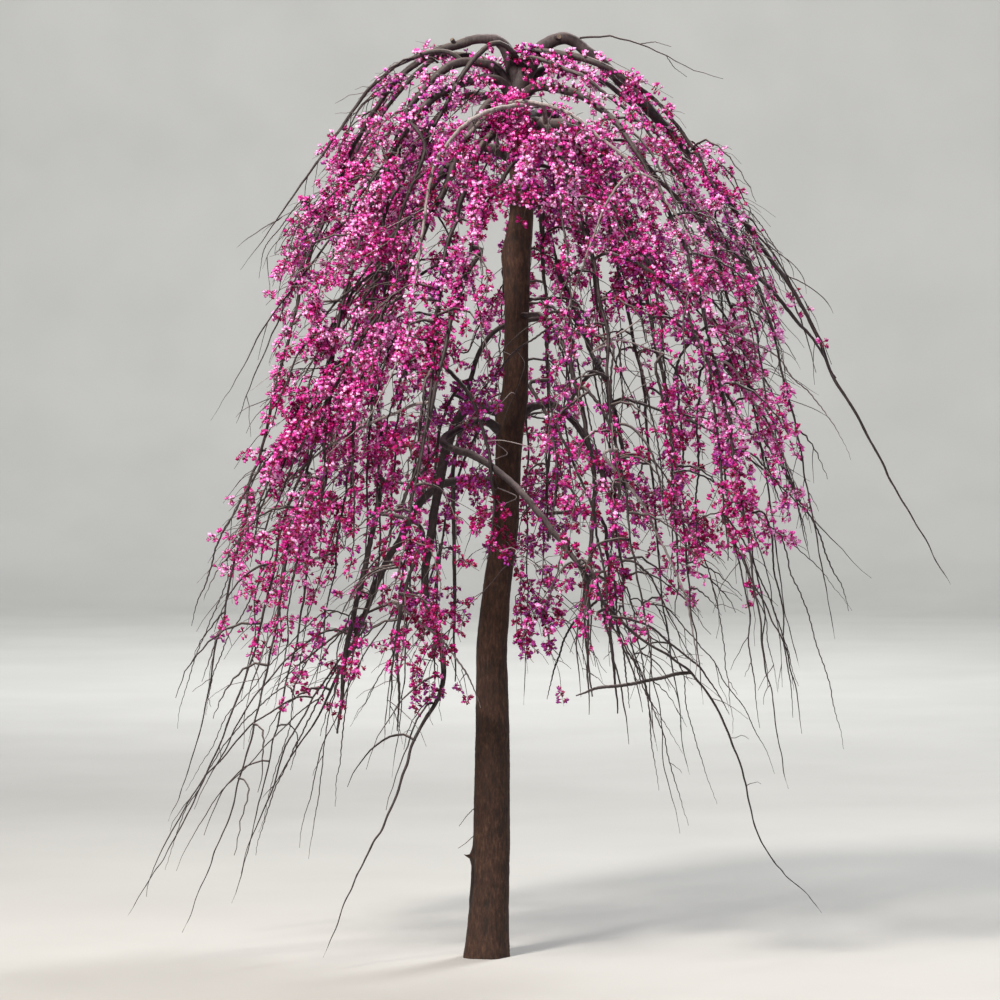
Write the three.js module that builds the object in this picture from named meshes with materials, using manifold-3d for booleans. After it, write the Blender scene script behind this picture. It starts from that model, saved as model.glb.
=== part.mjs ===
// A weeping redbud in bloom: a grafted trunk, boughs that spring from its head and arch over, and
// curtains of hanging twigs set with sprays of blossom. Millimetres and degrees, +Z up, +X to the
// right and +Y to the back; headings turn from +X towards +Y. The origin is the centre of the flat
// cut under the trunk, at ground level.
import * as THREE from "three";
import { mergeVertices } from "three/addons/utils/BufferGeometryUtils.js";
import Module from "manifold-3d";

const wasm = await Module();
wasm.setup();

// ---------------------------------------------------------------- driving dimensions

const GAP = 0.3; // air left where two solids meet
const GROUND_CLEARANCE = 12; // lowest that a twig may hang

// Trunk: height, lean to +X, radius.
const TRUNK_STATIONS = [
  [0, 0, 57],
  [76, 3, 54],
  [320, 12, 50],
  [600, 15, 46],
  [850, 12, 41],
  [1000, 26, 38],
  [1160, 50, 35],
  [1340, 57, 34.5],
  [1430, 62, 37],
  [1530, 76, 34],
  [1720, 80, 32],
  [1900, 81, 37],
  [2010, 94, 32],
  [2190, 92, 31],
  [2310, 78, 27],
  [2372, 80, 19],
];
const TRUNK_SWAY = 10; // how far the trunk bows to the back and front on its way up
const TRUNK_SWAY_LENGTH = 1250; // height of one bow
const FLARE_HEIGHT = 70; // height over which the root flare dies away
const FLARE_SPREAD = 12; // how far the flare reaches past the trunk
const FLARE_HEADING = 180; // the side with the strongest root
const SNAG = { height: 271, heading: 182, length: 74, radius: 9, rise: 12 }; // a broken side shoot

const BOUGH_SIDES = 8;
const BOUGH_STEP = 75; // spacing of a bough's rings
const STEM_SIDES = 4;
const STEM_RINGS = 7;
const TIP_RADIUS = 1.4;
const TAPER_POWER = 0.85; // under 1: a limb keeps its girth and loses it near its tip

const TWIG_POINTS = 9; // steps in which a twig grows
const TWIG_SKIP = 3; // steps between two of a twig's rings
const TWIG_SIDES = 3;
const TWIG_TRIES = 16; // candidates for each twig that a curtain keeps
const HANG_PITCH = -76; // the slope that a weeping twig settles at
const TURN_OUT = 0.12; // share of its turn away from the trunk that a twig makes in one step

const SPRAY_LENGTH = 120; // one spray stands for the blossom on some ten centimetres of twig
const SPRAY_WIDTH = 60;
const SPRAY_EVERY = 92; // spacing of sprays along a stem or twig
const SIMPLIFY = 0.2; // how far fusing a curtain may move its surface to save triangles
const SPACE_MARGIN = 4; // how far a curtain keeps inside its own space
const TANGENT_REACH = 6; // how far to each side of a point a line's direction is taken from

// The crown's outline: height, and how far blossom reaches from its axis to -X and to +X. Bare
// twigs reach further by TWIG_SPARE, and below BARE_BELOW by the share BARE_SPREAD of their depth.
const CROWN_X = 80;
const CROWN = [
  [2440, 230, 220],
  [2390, 365, 300],
  [2330, 435, 395],
  [2250, 505, 450],
  [2190, 545, 530],
  [2080, 560, 620],
  [1970, 590, 665],
  [1860, 640, 730],
  [1670, 645, 780],
  [1520, 690, 800],
  [1250, 780, 790],
  [1080, 840, 740],
  [890, 780, 610],
  [720, 690, 575],
  [600, 480, 480],
];
const TWIG_SPARE = 60;
const SPRAY_SPARE = 20;
const BARE_BELOW = 1000;
const BARE_SPREAD = 0.7;

// Leaders: each is a bough that ends where its curtain of blossom begins, and the curtain's stem
// goes on along the same arch. root is its height on the trunk. The arch rises to crest, runs level
// for about run, and falls to tip, where its last stretch of length hang leans out by flare.
// Distances out are from the trunk's axis; swing is how far the heading turns on the way; wood is
// the length of the bough; bloom is the share of the stem that carries blossom. Each of bends is a
// place along the arch, the width of a bend there, and how far it carries the arch off its line.
const LEADERS = [
  { name: "right_outer", heading: 6, swing: -6, root: 2325, crest: [135, 2496], run: 150,
    tip: [1179, 1005], hang: 500, flare: 30, thick: 19, wood: 540, bloom: 0.6, twigs: 6,
    bends: [[0.62, 0.2, [44, 0, 12]]] },
  { name: "right_high", heading: -14, swing: 2, root: 2352, crest: [70, 2458], run: 560,
    tip: [872, 867], hang: 500, flare: 10, thick: 12, wood: 200, bloom: 0.82, twigs: 7 },
  { name: "right_front", heading: -42, swing: 6, root: 2290, crest: [100, 2360], run: 560,
    tip: [870, 500], hang: 600, flare: 14, thick: 13, wood: 240, bloom: 0.75, twigs: 7 },
  { name: "front_right", heading: -70, swing: 12, root: 2190, crest: [110, 2262], run: 330,
    tip: [660, 610], hang: 500, flare: 8, thick: 13, wood: 200, bloom: 0.85, twigs: 7 },
  { name: "front_low", heading: 244, swing: -8, root: 2170, crest: [100, 2236], run: 330,
    tip: [660, 600], hang: 600, flare: 12, thick: 13, wood: 200, bloom: 0.82, twigs: 6 },
  { name: "front_left", heading: 232, swing: -20, root: 2270, crest: [95, 2318], run: 120,
    tip: [720, 1290], hang: 350, flare: 50, thick: 13, wood: 420, bloom: 0.8, twigs: 6 },
  { name: "left_front", heading: 212, swing: -4, root: 2300, crest: [115, 2385], run: 470,
    tip: [985, 118], hang: 650, flare: 30, thick: 13, wood: 300, bloom: 0.7, twigs: 7 },
  { name: "left_outer", heading: 180, swing: 0, root: 2362, crest: [78, 2492], run: 560,
    tip: [940, 352], hang: 700, flare: 20, thick: 14, wood: 230, bloom: 0.75, twigs: 7 },
  { name: "left_high", heading: 160, swing: 6, root: 2335, crest: [180, 2452], run: 190,
    tip: [800, 1440], hang: 450, flare: 20, thick: 11, wood: 200, bloom: 0.9, twigs: 6 },
  { name: "left_long", heading: 197, swing: -2, root: 2310, crest: [140, 2430], run: 330,
    tip: [1060, 143], hang: 800, flare: 37, thick: 13, wood: 260, bloom: 0.66, twigs: 7 },
  { name: "left_back", heading: 140, swing: 10, root: 2235, crest: [130, 2350], run: 480,
    tip: [930, 89], hang: 800, flare: 20, thick: 12, wood: 220, bloom: 0.7, twigs: 6 },
  { name: "back_left", heading: 114, swing: 4, root: 2190, crest: [130, 2280], run: 430,
    tip: [800, 430], hang: 600, flare: 12, thick: 13, wood: 180, bloom: 0.78, twigs: 6 },
  { name: "back", heading: 86, swing: 2, root: 2260, crest: [130, 2400], run: 430,
    tip: [800, 620], hang: 600, flare: 10, thick: 12, wood: 200, bloom: 0.78, twigs: 6 },
  { name: "back_right", heading: 58, swing: -4, root: 2205, crest: [130, 2300], run: 450,
    tip: [830, 440], hang: 600, flare: 14, thick: 13, wood: 180, bloom: 0.78, twigs: 6 },
  { name: "right_back", heading: 32, swing: -6, root: 2295, crest: [130, 2420], run: 540,
    tip: [880, 760], hang: 600, flare: 12, thick: 12, wood: 210, bloom: 0.8, twigs: 6 },
  { name: "inner_right", heading: -14, swing: -6, root: 2215, crest: [130, 2262], run: 230,
    tip: [520, 700], hang: 500, flare: 8, thick: 16, wood: 200, bloom: 0.85, twigs: 6, reach: 0.75 },
  { name: "inner_left", heading: 176, swing: 10, root: 2130, crest: [110, 2190], run: 240,
    tip: [560, 720], hang: 500, flare: 8, thick: 13, wood: 190, bloom: 0.85, twigs: 6, reach: 0.75 },
  { name: "inner_back", heading: 68, swing: 14, root: 2060, crest: [100, 2120], run: 180,
    tip: [430, 900], hang: 450, flare: 8, thick: 11, wood: 180, bloom: 0.85, twigs: 5, reach: 0.75 },
  { name: "top_front", heading: 266, swing: 6, root: 2255, crest: [58, 2338], run: 110,
    tip: [270, 2000], hang: 150, flare: 12, thick: 9, wood: 130, bloom: 1, twigs: 5, reach: 0.42 },
  { name: "low_left", heading: 188, swing: 24, root: 1466, crest: [110, 1492], run: 140,
    tip: [590, 34], hang: 600, flare: 34, thick: 15, wood: 760, bloom: 0.3, twigs: 4,
    bends: [[0.68, 0.07, [96, 0, 0]], [0.8, 0.06, [46, 0, 0]]] },
  { name: "low_back_left", heading: 168, swing: -6, root: 1262, crest: [132, 1300], run: 220,
    tip: [720, 412], hang: 400, flare: 50, thick: 13, wood: 620, bloom: 0.4, twigs: 4 },
  { name: "low_front", heading: 200, swing: 165, root: 1400, crest: [150, 1462], run: 260,
    tip: [870, 108], hang: 420, flare: 34, thick: 11, wood: 740, split: 300, bloom: 0.3, twigs: 4,
    bends: [[0.27, 0.07, [-85, 0, -35]], [0.5, 0.11, [40, 0, 25]], [0.76, 0.13, [-10, 0, 175]],
      [0.9, 0.07, [-90, 0, 10]]] },
  { name: "low_right", heading: 16, swing: -10, root: 1440, crest: [120, 1500], run: 130,
    tip: [390, 560], hang: 500, flare: 10, thick: 10, wood: 330, bloom: 0.9, twigs: 5 },
];

// ---------------------------------------------------------------- numbers and directions

const radians = THREE.MathUtils.degToRad;
const mix = THREE.MathUtils.lerp;

function direction(heading, pitch) {
  const level = Math.cos(radians(pitch));
  return new THREE.Vector3(
    level * Math.cos(radians(heading)),
    level * Math.sin(radians(heading)),
    Math.sin(radians(pitch)),
  );
}

// A repeatable stream of numbers from 0 to 1, one for each seed.
function randomStream(seed) {
  let state = Math.imul(seed, 0x9e3779b1) >>> 0;
  const next = () => {
    state = (state * 1664525 + 1013904223) % 4294967296;
    return state / 4294967296;
  };
  next();
  next();
  return next;
}

// ---------------------------------------------------------------- solids

// A three.js geometry as a closed solid.
function solidOf(geometry) {
  geometry.deleteAttribute("normal");
  geometry.deleteAttribute("uv");
  const merged = mergeVertices(geometry, 1e-3);
  return new wasm.Manifold(
    new wasm.Mesh({
      numProp: 3,
      vertProperties: merged.attributes.position.array,
      triVerts: new Uint32Array(merged.index.array),
    }),
  );
}

// A solid as a named mesh of one colour.
function meshOf(solid, name, material) {
  const { vertProperties, triVerts } = solid.getMesh();
  const geometry = new THREE.BufferGeometry();
  geometry.setAttribute("position", new THREE.BufferAttribute(vertProperties, 3));
  geometry.setIndex(new THREE.BufferAttribute(triVerts, 1));
  geometry.computeVertexNormals();
  const mesh = new THREE.Mesh(geometry, material);
  mesh.name = name;
  return mesh;
}

// The part of a cut solid that holds most of its volume.
function largestOf(solid) {
  return solid.decompose().reduce((a, b) => (b.volume() > a.volume() ? b : a));
}

// A closed tapering limb with a ring of corners at each point. A last radius of 0 makes a point.
// swell(angle, point) widens a ring on some sides.
function limbGeometry(points, radii, sides, { swell = () => 0, tangents = tangentsOf(points) } = {}) {
  const rings = points.length - 1;
  const tipUnit = radii[rings] === 0 ? 0 : 1;
  const geometry = new THREE.CylinderGeometry(tipUnit, 1, 1, sides, rings);
  const frames = framesAlong(tangents);
  const corners = geometry.attributes.position;
  for (let i = 0; i < corners.count; i++) {
    const ring = rings - Math.round((0.5 - corners.getY(i)) * rings);
    const { normal, side } = frames[ring];
    const x = corners.getX(i);
    const z = corners.getZ(i);
    const unit = Math.hypot(x, z);
    const place = points[ring].clone();
    if (unit > 1e-6) {
      const offset = normal.clone().multiplyScalar(x / unit).addScaledVector(side, z / unit);
      place.addScaledVector(offset, radii[ring] + swell(offset, place));
    }
    corners.setXYZ(i, place.x, place.y, place.z);
  }
  return geometry;
}

function tangentsOf(points) {
  const last = points.length - 1;
  return points.map((_, i) =>
    points[Math.min(i + 1, last)].clone().sub(points[Math.max(i - 1, 0)]).normalize(),
  );
}

// A frame across each tangent of a line, turned as little as can be from one to the next.
function framesAlong(tangents) {
  let normal = null;
  return tangents.map((tangent) => {
    const seed = normal ?? (Math.abs(tangent.z) > 0.9 ? new THREE.Vector3(1, 0, 0) : new THREE.Vector3(0, 0, 1));
    normal = seed.clone().addScaledVector(tangent, -seed.dot(tangent)).normalize();
    return { normal, side: normal.clone().cross(tangent) };
  });
}

// ---------------------------------------------------------------- lines and distances

// A polyline that can be read at any length along it.
class Line {
  constructor(points) {
    this.points = points;
    this.lengths = [0];
    for (let i = 1; i < points.length; i++) {
      this.lengths.push(this.lengths[i - 1] + points[i].distanceTo(points[i - 1]));
    }
    this.length = this.lengths.at(-1);
  }

  at(length) {
    let i = 1;
    while (i < this.points.length - 1 && this.lengths[i] < length) i++;
    const share = (length - this.lengths[i - 1]) / (this.lengths[i] - this.lengths[i - 1]);
    return this.points[i - 1].clone().lerp(this.points[i], share);
  }

  tangentAt(length) {
    return this.at(length + TANGENT_REACH).sub(this.at(length - TANGENT_REACH)).normalize();
  }

  distanceTo(point) {
    let nearest = Infinity;
    const closest = new THREE.Vector3();
    const span = new THREE.Line3();
    for (let i = 1; i < this.points.length; i++) {
      span.set(this.points[i - 1], this.points[i]).closestPointToPoint(point, true, closest);
      nearest = Math.min(nearest, closest.distanceTo(point));
    }
    return nearest;
  }
}

// ---------------------------------------------------------------- trunk

// The trunk's axis and radius at a height.
function trunkAt(height) {
  let i = 1;
  while (i < TRUNK_STATIONS.length - 1 && TRUNK_STATIONS[i][0] < height) i++;
  const [below, above] = [TRUNK_STATIONS[i - 1], TRUNK_STATIONS[i]];
  const share = THREE.MathUtils.clamp((height - below[0]) / (above[0] - below[0]), 0, 1);
  const sway = TRUNK_SWAY * Math.sin((Math.PI * height) / TRUNK_SWAY_LENGTH);
  return {
    centre: new THREE.Vector3(mix(below[1], above[1], share), sway, height),
    radius: mix(below[2], above[2], share),
  };
}

// The trunk's body in level rings, or the same grown by the air that a bough keeps from it.
function trunkSolid(growth = 0) {
  const stations = TRUNK_STATIONS.map(([height]) => trunkAt(height));
  const firstRing = trunkAt(24);
  stations.splice(1, 0, firstRing);
  const strongRoot = direction(FLARE_HEADING, 0);
  const flare = (offset, place) =>
    FLARE_SPREAD * Math.exp(-place.z / FLARE_HEIGHT) * (0.6 + 0.4 * offset.dot(strongRoot)
      + 0.3 * Math.cos(5 * Math.atan2(offset.y, offset.x)));
  const points = stations.map((s) => s.centre);
  points.at(-1).z += growth;
  const radii = stations.map((s) => s.radius + growth);
  const tangents = points.map(() => new THREE.Vector3(0, 0, 1));
  const body = solidOf(limbGeometry(points, radii, 14, { swell: flare, tangents }));
  return body.add(snagSolid());
}

function snagSolid() {
  const foot = trunkAt(SNAG.height).centre;
  const middle = foot.clone().addScaledVector(direction(SNAG.heading, SNAG.rise / 2), SNAG.length * 0.8);
  const point = foot.clone().addScaledVector(direction(SNAG.heading, SNAG.rise), SNAG.length);
  return solidOf(limbGeometry([foot, middle, point], [SNAG.radius, SNAG.radius * 0.6, 0], 5));
}

// ---------------------------------------------------------------- leaders

const cubic = (a, b, c, d, t) =>
  a * (1 - t) ** 3 + 3 * b * t * (1 - t) ** 2 + 3 * c * t * t * (1 - t) + d * t ** 3;

// The line of a leader, from the trunk's axis over its crest to its tip.
function leaderLine({ heading, swing, root, crest, run, tip, hang, flare, bends = [] }) {
  const axis = trunkAt(root).centre;
  const [crestOut, crestZ] = crest;
  const [tipOut, tipZ] = tip;
  const rise = [[0, root], [0.25 * crestOut, mix(root, crestZ, 0.75)], [0.55 * crestOut, crestZ], crest];
  const lean = radians(flare);
  const hung = [tipOut - hang * Math.sin(lean), tipZ + hang * Math.cos(lean)];
  const fall = [crest, [crestOut + run, crestZ], hung, tip];
  const profile = [];
  for (let i = 0; i <= 6; i++) profile.push([0, 1].map((k) => cubic(...rise.map((p) => p[k]), i / 6)));
  for (let i = 1; i <= 24; i++) profile.push([0, 1].map((k) => cubic(...fall.map((p) => p[k]), i / 24)));
  return new Line(
    profile.map(([out, height], i) => {
      const share = i / (profile.length - 1);
      const level = direction(heading + swing * share, 0);
      const point = new THREE.Vector3(axis.x, axis.y, 0).addScaledVector(level, out).setZ(height);
      for (const [at, width, shift] of bends) {
        point.addScaledVector(new THREE.Vector3(...shift), Math.exp(-(((share - at) / width) ** 2)));
      }
      return point;
    }),
  );
}

// A leader's radius at a length along it.
function leaderRadius(leader, length) {
  const left = 1 - length / leader.line.length;
  return TIP_RADIUS + (leader.thick - TIP_RADIUS) * Math.max(left, 0) ** TAPER_POWER;
}

// A stretch of a leader as a closed limb.
function leaderStretch(leader, from, to, rings, sides, growth = 0) {
  const lengths = Array.from({ length: rings + 1 }, (_, i) => mix(from, to, i / rings));
  const points = lengths.map((length) => leader.line.at(length));
  const radii = lengths.map((length) => leaderRadius(leader, length) + growth);
  const tangents = lengths.map((length) => leader.line.tangentAt(length));
  return solidOf(limbGeometry(points, radii, sides, { tangents }));
}

const leaders = LEADERS.map((leader, index) => {
  const line = leaderLine(leader);
  const stem = new Line(
    Array.from({ length: STEM_RINGS + 1 }, (_, i) =>
      line.at(mix(leader.wood + GAP, line.length - 0.01, i / STEM_RINGS)),
    ),
  );
  return { reach: 1, ...leader, index, line, stem };
});

// ---------------------------------------------------------------- growth of a curtain

// The line of one weeping twig: it sets off at a heading and pitch, and at each step sinks towards
// the hanging slope and turns away from the trunk.
function weepingLine(start, heading, pitch, length, droop, outward) {
  const points = [start];
  let yaw = heading;
  let slope = pitch;
  for (let i = 0; i < TWIG_POINTS; i++) {
    points.push(points[i].clone().addScaledVector(direction(yaw, slope), length / TWIG_POINTS));
    slope += (HANG_PITCH - slope) * droop;
    yaw += (outward - yaw) * TURN_OUT;
  }
  return new Line(points);
}

// The heading away from the trunk at a leader's stem.
const outwardAt = (leader, share) => leader.heading + leader.swing * share;

// A curtain's candidate twigs, each from a seed of its own.
function candidateTwig(leader, number) {
  const random = randomStream(1000 * (leader.index + 1) + number);
  const share = 0.03 + 0.8 * random() ** 1.1;
  const side = number % 2 ? 1 : -1;
  const outward = outwardAt(leader, share);
  const heading = outward + side * mix(30, 105, random());
  const pitch = mix(0, 42, random()) * (1 - share);
  const length = mix(280, 520, random()) * (1 - 0.4 * share) * leader.reach;
  const droop = mix(0.13, 0.3, random());
  const line = weepingLine(leader.stem.at(share * leader.stem.length), heading, pitch, length, droop, outward);
  return { line, share, side, random };
}

// True where a point is nearer to this curtain's stem than to any other's.
function inOwnSpace(leader, point) {
  const own = leader.stem.distanceTo(point);
  return leaders.every((other) => other === leader || other.stem.distanceTo(point) > own + SPACE_MARGIN);
}

// True where a point with some air round it is clear of the trunk, the boughs and the ground.
function clearOfLimbs(point, air) {
  if (point.z < GROUND_CLEARANCE + air) return false;
  const trunk = trunkAt(point.z);
  const level = trunk.centre.clone().setZ(point.z);
  if (point.z < trunkTop && level.distanceTo(point) < trunk.radius + air) return false;
  return leaders.every((leader) => leader.bough.distanceTo(point) > leader.thick + air);
}

const trunkTop = TRUNK_STATIONS.at(-1)[0] + 10;
for (const leader of leaders) {
  leader.bough = new Line(
    Array.from({ length: 13 }, (_, i) => leader.line.at((leader.wood * i) / 12)),
  );
}

// True where a point is inside the crown's outline with some room to spare.
function inCrown(point, spare) {
  const out = Math.hypot(point.x - CROWN_X, point.y);
  let i = 1;
  while (i < CROWN.length - 1 && CROWN[i][0] > point.z) i++;
  const [above, below] = [CROWN[i - 1], CROWN[i]];
  const share = THREE.MathUtils.clamp((above[0] - point.z) / (above[0] - below[0]), 0, 1);
  const toRight = 0.5 + (0.5 * (point.x - CROWN_X)) / Math.max(out, 1);
  return out < mix(mix(above[1], below[1], share), mix(above[2], below[2], share), toRight) + spare;
}

const twigSpare = (point) => TWIG_SPARE + BARE_SPREAD * Math.max(BARE_BELOW - point.z, 0);

const fits = (leader, points, air, spare) =>
  points.every((p) => inOwnSpace(leader, p) && clearOfLimbs(p, air) && inCrown(p, spare(p)));

// Sprays of blossom along a line: each is an eight-faced body with its root sunk in the wood.
function spraysAlong(leader, line, from, to, side, random, spacing = 1) {
  const sprays = [];
  let turn = side;
  for (let length = from; length < to; length += SPRAY_EVERY * spacing * mix(0.8, 1.2, random())) {
    const root = line.at(length);
    const tangent = line.at(Math.min(length + 8, line.length)).sub(root).normalize();
    const yaw = outwardAt(leader, 0.5) + turn * mix(40, 120, random());
    const along = tangent.clone().multiplyScalar(0.55).add(direction(yaw, -15).multiplyScalar(0.85)).normalize();
    const long = SPRAY_LENGTH * mix(0.8, 1.1, random()) * Math.sqrt(leader.reach);
    turn = -turn;
    const spray = sprayGeometry(root.addScaledVector(along, -1), along, long, SPRAY_WIDTH * Math.sqrt(leader.reach));
    if (fits(leader, spray.corners.slice(1), 2, () => SPRAY_SPARE)) sprays.push(solidOf(spray.geometry));
  }
  return sprays;
}

function sprayGeometry(root, along, long, wide) {
  const geometry = new THREE.OctahedronGeometry(0.5);
  geometry.scale(wide, long, wide * 0.8);
  geometry.applyQuaternion(new THREE.Quaternion().setFromUnitVectors(new THREE.Vector3(0, -1, 0), along));
  const centre = root.clone().addScaledVector(along, long / 2);
  geometry.translate(centre.x, centre.y, centre.z);
  const corners = [root];
  const all = geometry.attributes.position;
  for (let i = 0; i < all.count; i++) {
    const corner = new THREE.Vector3().fromBufferAttribute(all, i);
    if (corners.every((c) => c.distanceTo(corner) > 1)) corners.push(corner);
  }
  return { geometry, corners };
}

function twigSolid(leader, twig) {
  const base = leaderRadius(leader, leader.wood + twig.share * leader.stem.length);
  const thick = Math.min(base * 0.75, 4.2);
  const points = twig.line.points.filter((_, i) => i % TWIG_SKIP === 0);
  const last = points.length - 1;
  const radii = points.map((_, i) => (i === last ? 0 : mix(thick, 1.6, i / last)));
  return solidOf(limbGeometry(points, radii, TWIG_SIDES));
}

// One curtain: the stem, the first candidate twigs that fit its space, and their sprays, fused.
function curtainSolid(leader) {
  const { line, wood, stem, bloom } = leader;
  const pieces = [leaderStretch(leader, wood + GAP, line.length - 0.01, STEM_RINGS, STEM_SIDES)];
  const stemRandom = randomStream(500 + leader.index);
  pieces.push(...spraysAlong(leader, stem, 30, bloom * stem.length, 1, stemRandom, 1.25));
  let kept = 0;
  for (let number = 0; number < leader.twigs * TWIG_TRIES && kept < leader.twigs; number++) {
    const twig = candidateTwig(leader, number);
    if (!fits(leader, twig.line.points.slice(1), 5, twigSpare)) continue;
    kept++;
    pieces.push(twigSolid(leader, twig));
    if (twig.share < bloom) {
      pieces.push(...spraysAlong(leader, twig.line, 45, 0.8 * twig.line.length, twig.side, twig.random));
    }
  }
  return largestOf(wasm.Manifold.union(pieces).asOriginal().simplify(SIMPLIFY));
}

// ---------------------------------------------------------------- the tree

const bark = new THREE.MeshStandardMaterial({ color: 0x4a3a33, roughness: 0.9, metalness: 0 });
const youngBark = new THREE.MeshStandardMaterial({ color: 0x5b4d4b, roughness: 0.8, metalness: 0 });
const blossom = new THREE.MeshStandardMaterial({ color: 0xc8318f, roughness: 0.6, metalness: 0 });

const tree = new THREE.Group();
tree.add(meshOf(trunkSolid(), "trunk", bark));

// Each bough is cut clear of the trunk and of the boughs before it. One that bends round a wide gap
// is split at the bend.
const cutters = [trunkSolid(GAP)];
for (const leader of leaders) {
  const { name, wood, split } = leader;
  const stretches = split ? [["", 0, split - GAP], ["_far", split, wood]] : [["", 0, wood]];
  const own = [];
  for (const [suffix, from, to] of stretches) {
    const rings = Math.round((to - from) / BOUGH_STEP);
    let solid = leaderStretch(leader, from, to, rings, BOUGH_SIDES);
    for (const cutter of cutters) solid = solid.subtract(cutter);
    own.push(leaderStretch(leader, from, to, rings, BOUGH_SIDES, GAP));
    tree.add(meshOf(largestOf(solid), `bough_${name}${suffix}`, youngBark));
  }
  cutters.push(...own);
}

for (const leader of leaders) {
  tree.add(meshOf(curtainSolid(leader), `curtain_${leader.name}`, blossom));
}

export default tree;
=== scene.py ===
"""A weeping redbud in full bloom: bark with real relief, arching boughs, hanging twigs and pea flowers.

Growth is worked out in millimetres, with +Z up, +X to the right and +Y to the back; headings turn
from +X towards +Y. The leaders and the rule for their twigs are those of the solid model, and finer
strands, twigs and side shoots grow on from them. Meshes are made in metres.
"""

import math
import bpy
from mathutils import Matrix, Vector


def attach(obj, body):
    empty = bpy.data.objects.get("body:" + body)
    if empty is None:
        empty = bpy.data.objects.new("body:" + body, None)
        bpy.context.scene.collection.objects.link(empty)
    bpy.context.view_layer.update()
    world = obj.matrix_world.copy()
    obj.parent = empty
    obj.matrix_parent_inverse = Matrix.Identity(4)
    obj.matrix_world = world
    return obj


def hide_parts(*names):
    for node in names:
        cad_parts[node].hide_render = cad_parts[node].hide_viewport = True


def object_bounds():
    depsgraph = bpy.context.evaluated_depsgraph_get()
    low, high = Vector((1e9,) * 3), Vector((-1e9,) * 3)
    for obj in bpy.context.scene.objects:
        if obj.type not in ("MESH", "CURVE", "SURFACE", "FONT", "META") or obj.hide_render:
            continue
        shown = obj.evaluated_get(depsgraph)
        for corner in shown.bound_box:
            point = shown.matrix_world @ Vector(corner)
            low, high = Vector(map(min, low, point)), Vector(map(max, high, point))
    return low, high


bl_info = {
    "name": "Weeping redbud",
    "version": (1, 0, 0),
    "blender": (4, 5, 0),
    "location": "View3D > Sidebar > Redbud",
    "description": "Builds a weeping redbud in bloom round its packed solid model",
    "category": "Add Mesh",
}

from types import SimpleNamespace

import bpy
import numpy as np
from bpy.props import FloatProperty, FloatVectorProperty, IntProperty, PointerProperty
from mathutils import Vector

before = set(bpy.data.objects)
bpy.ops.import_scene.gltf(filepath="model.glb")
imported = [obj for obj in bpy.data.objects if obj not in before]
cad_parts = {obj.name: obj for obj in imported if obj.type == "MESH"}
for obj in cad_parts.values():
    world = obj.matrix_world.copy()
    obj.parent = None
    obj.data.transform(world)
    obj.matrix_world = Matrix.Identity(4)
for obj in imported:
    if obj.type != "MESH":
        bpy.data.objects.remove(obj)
CAD_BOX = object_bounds()

MM = 0.001
DOWN = np.array([0.0, 0.0, -1.0])

# ---------------------------------------------------------------- the solid model's sizes

GROUND_CLEARANCE = 12.0
TRUNK_STATIONS = np.array([
    [0, 0, 57], [76, 3, 54], [320, 12, 50], [600, 15, 46], [850, 12, 41], [1000, 26, 38],
    [1160, 50, 35], [1340, 57, 34.5], [1430, 62, 37], [1530, 76, 34], [1720, 80, 32],
    [1900, 81, 37], [2010, 94, 32], [2190, 92, 31], [2310, 78, 27], [2372, 80, 19],
])  # height, lean to +X, radius
TRUNK_SWAY = 10
TRUNK_SWAY_LENGTH = 1250
TRUNK_TOP = 2372.0
FLARE_HEIGHT = 70.0
FLARE_SPREAD = 12.0
FLARE_HEADING = 180.0
SNAG = {"height": 271, "heading": 182, "length": 74, "rise": 2}

TIP_RADIUS = 1.4
TAPER_POWER = 0.85  # under 1: a limb keeps its girth and loses it near its tip
STEM_RINGS = 7
GAP = 0.3  # air between a bough's end and its curtain
RISE_STEPS = 6
FALL_STEPS = 24
TWIG_POINTS = 9  # steps in which a twig grows
TWIG_TRIES = 16  # candidates for each twig that the solid model keeps
HANG_PITCH = -76.0  # the slope that a weeping twig settles at
TURN_OUT = 0.12  # share of its turn away from the trunk that a twig makes in one step
SPACE_MARGIN = 4.0  # how far the solid model's twigs keep inside their leader's space

# The crown's outline: height, and how far blossom reaches from its axis to -X and to +X. Bare
# twigs reach further by TWIG_SPARE, and below BARE_BELOW by the share BARE_SPREAD of their depth.
CROWN_X = 80.0
CROWN = np.array([
    [2440, 230, 220], [2390, 365, 300], [2330, 435, 395], [2250, 505, 450], [2190, 545, 530],
    [2080, 560, 620], [1970, 590, 665], [1860, 640, 730], [1670, 645, 780], [1520, 690, 800],
    [1250, 780, 790], [1080, 840, 740], [890, 780, 610], [720, 690, 575], [600, 480, 480],
])[::-1]
TWIG_SPARE = 60.0
BARE_BELOW = 1000.0
BARE_SPREAD = 0.7

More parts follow.
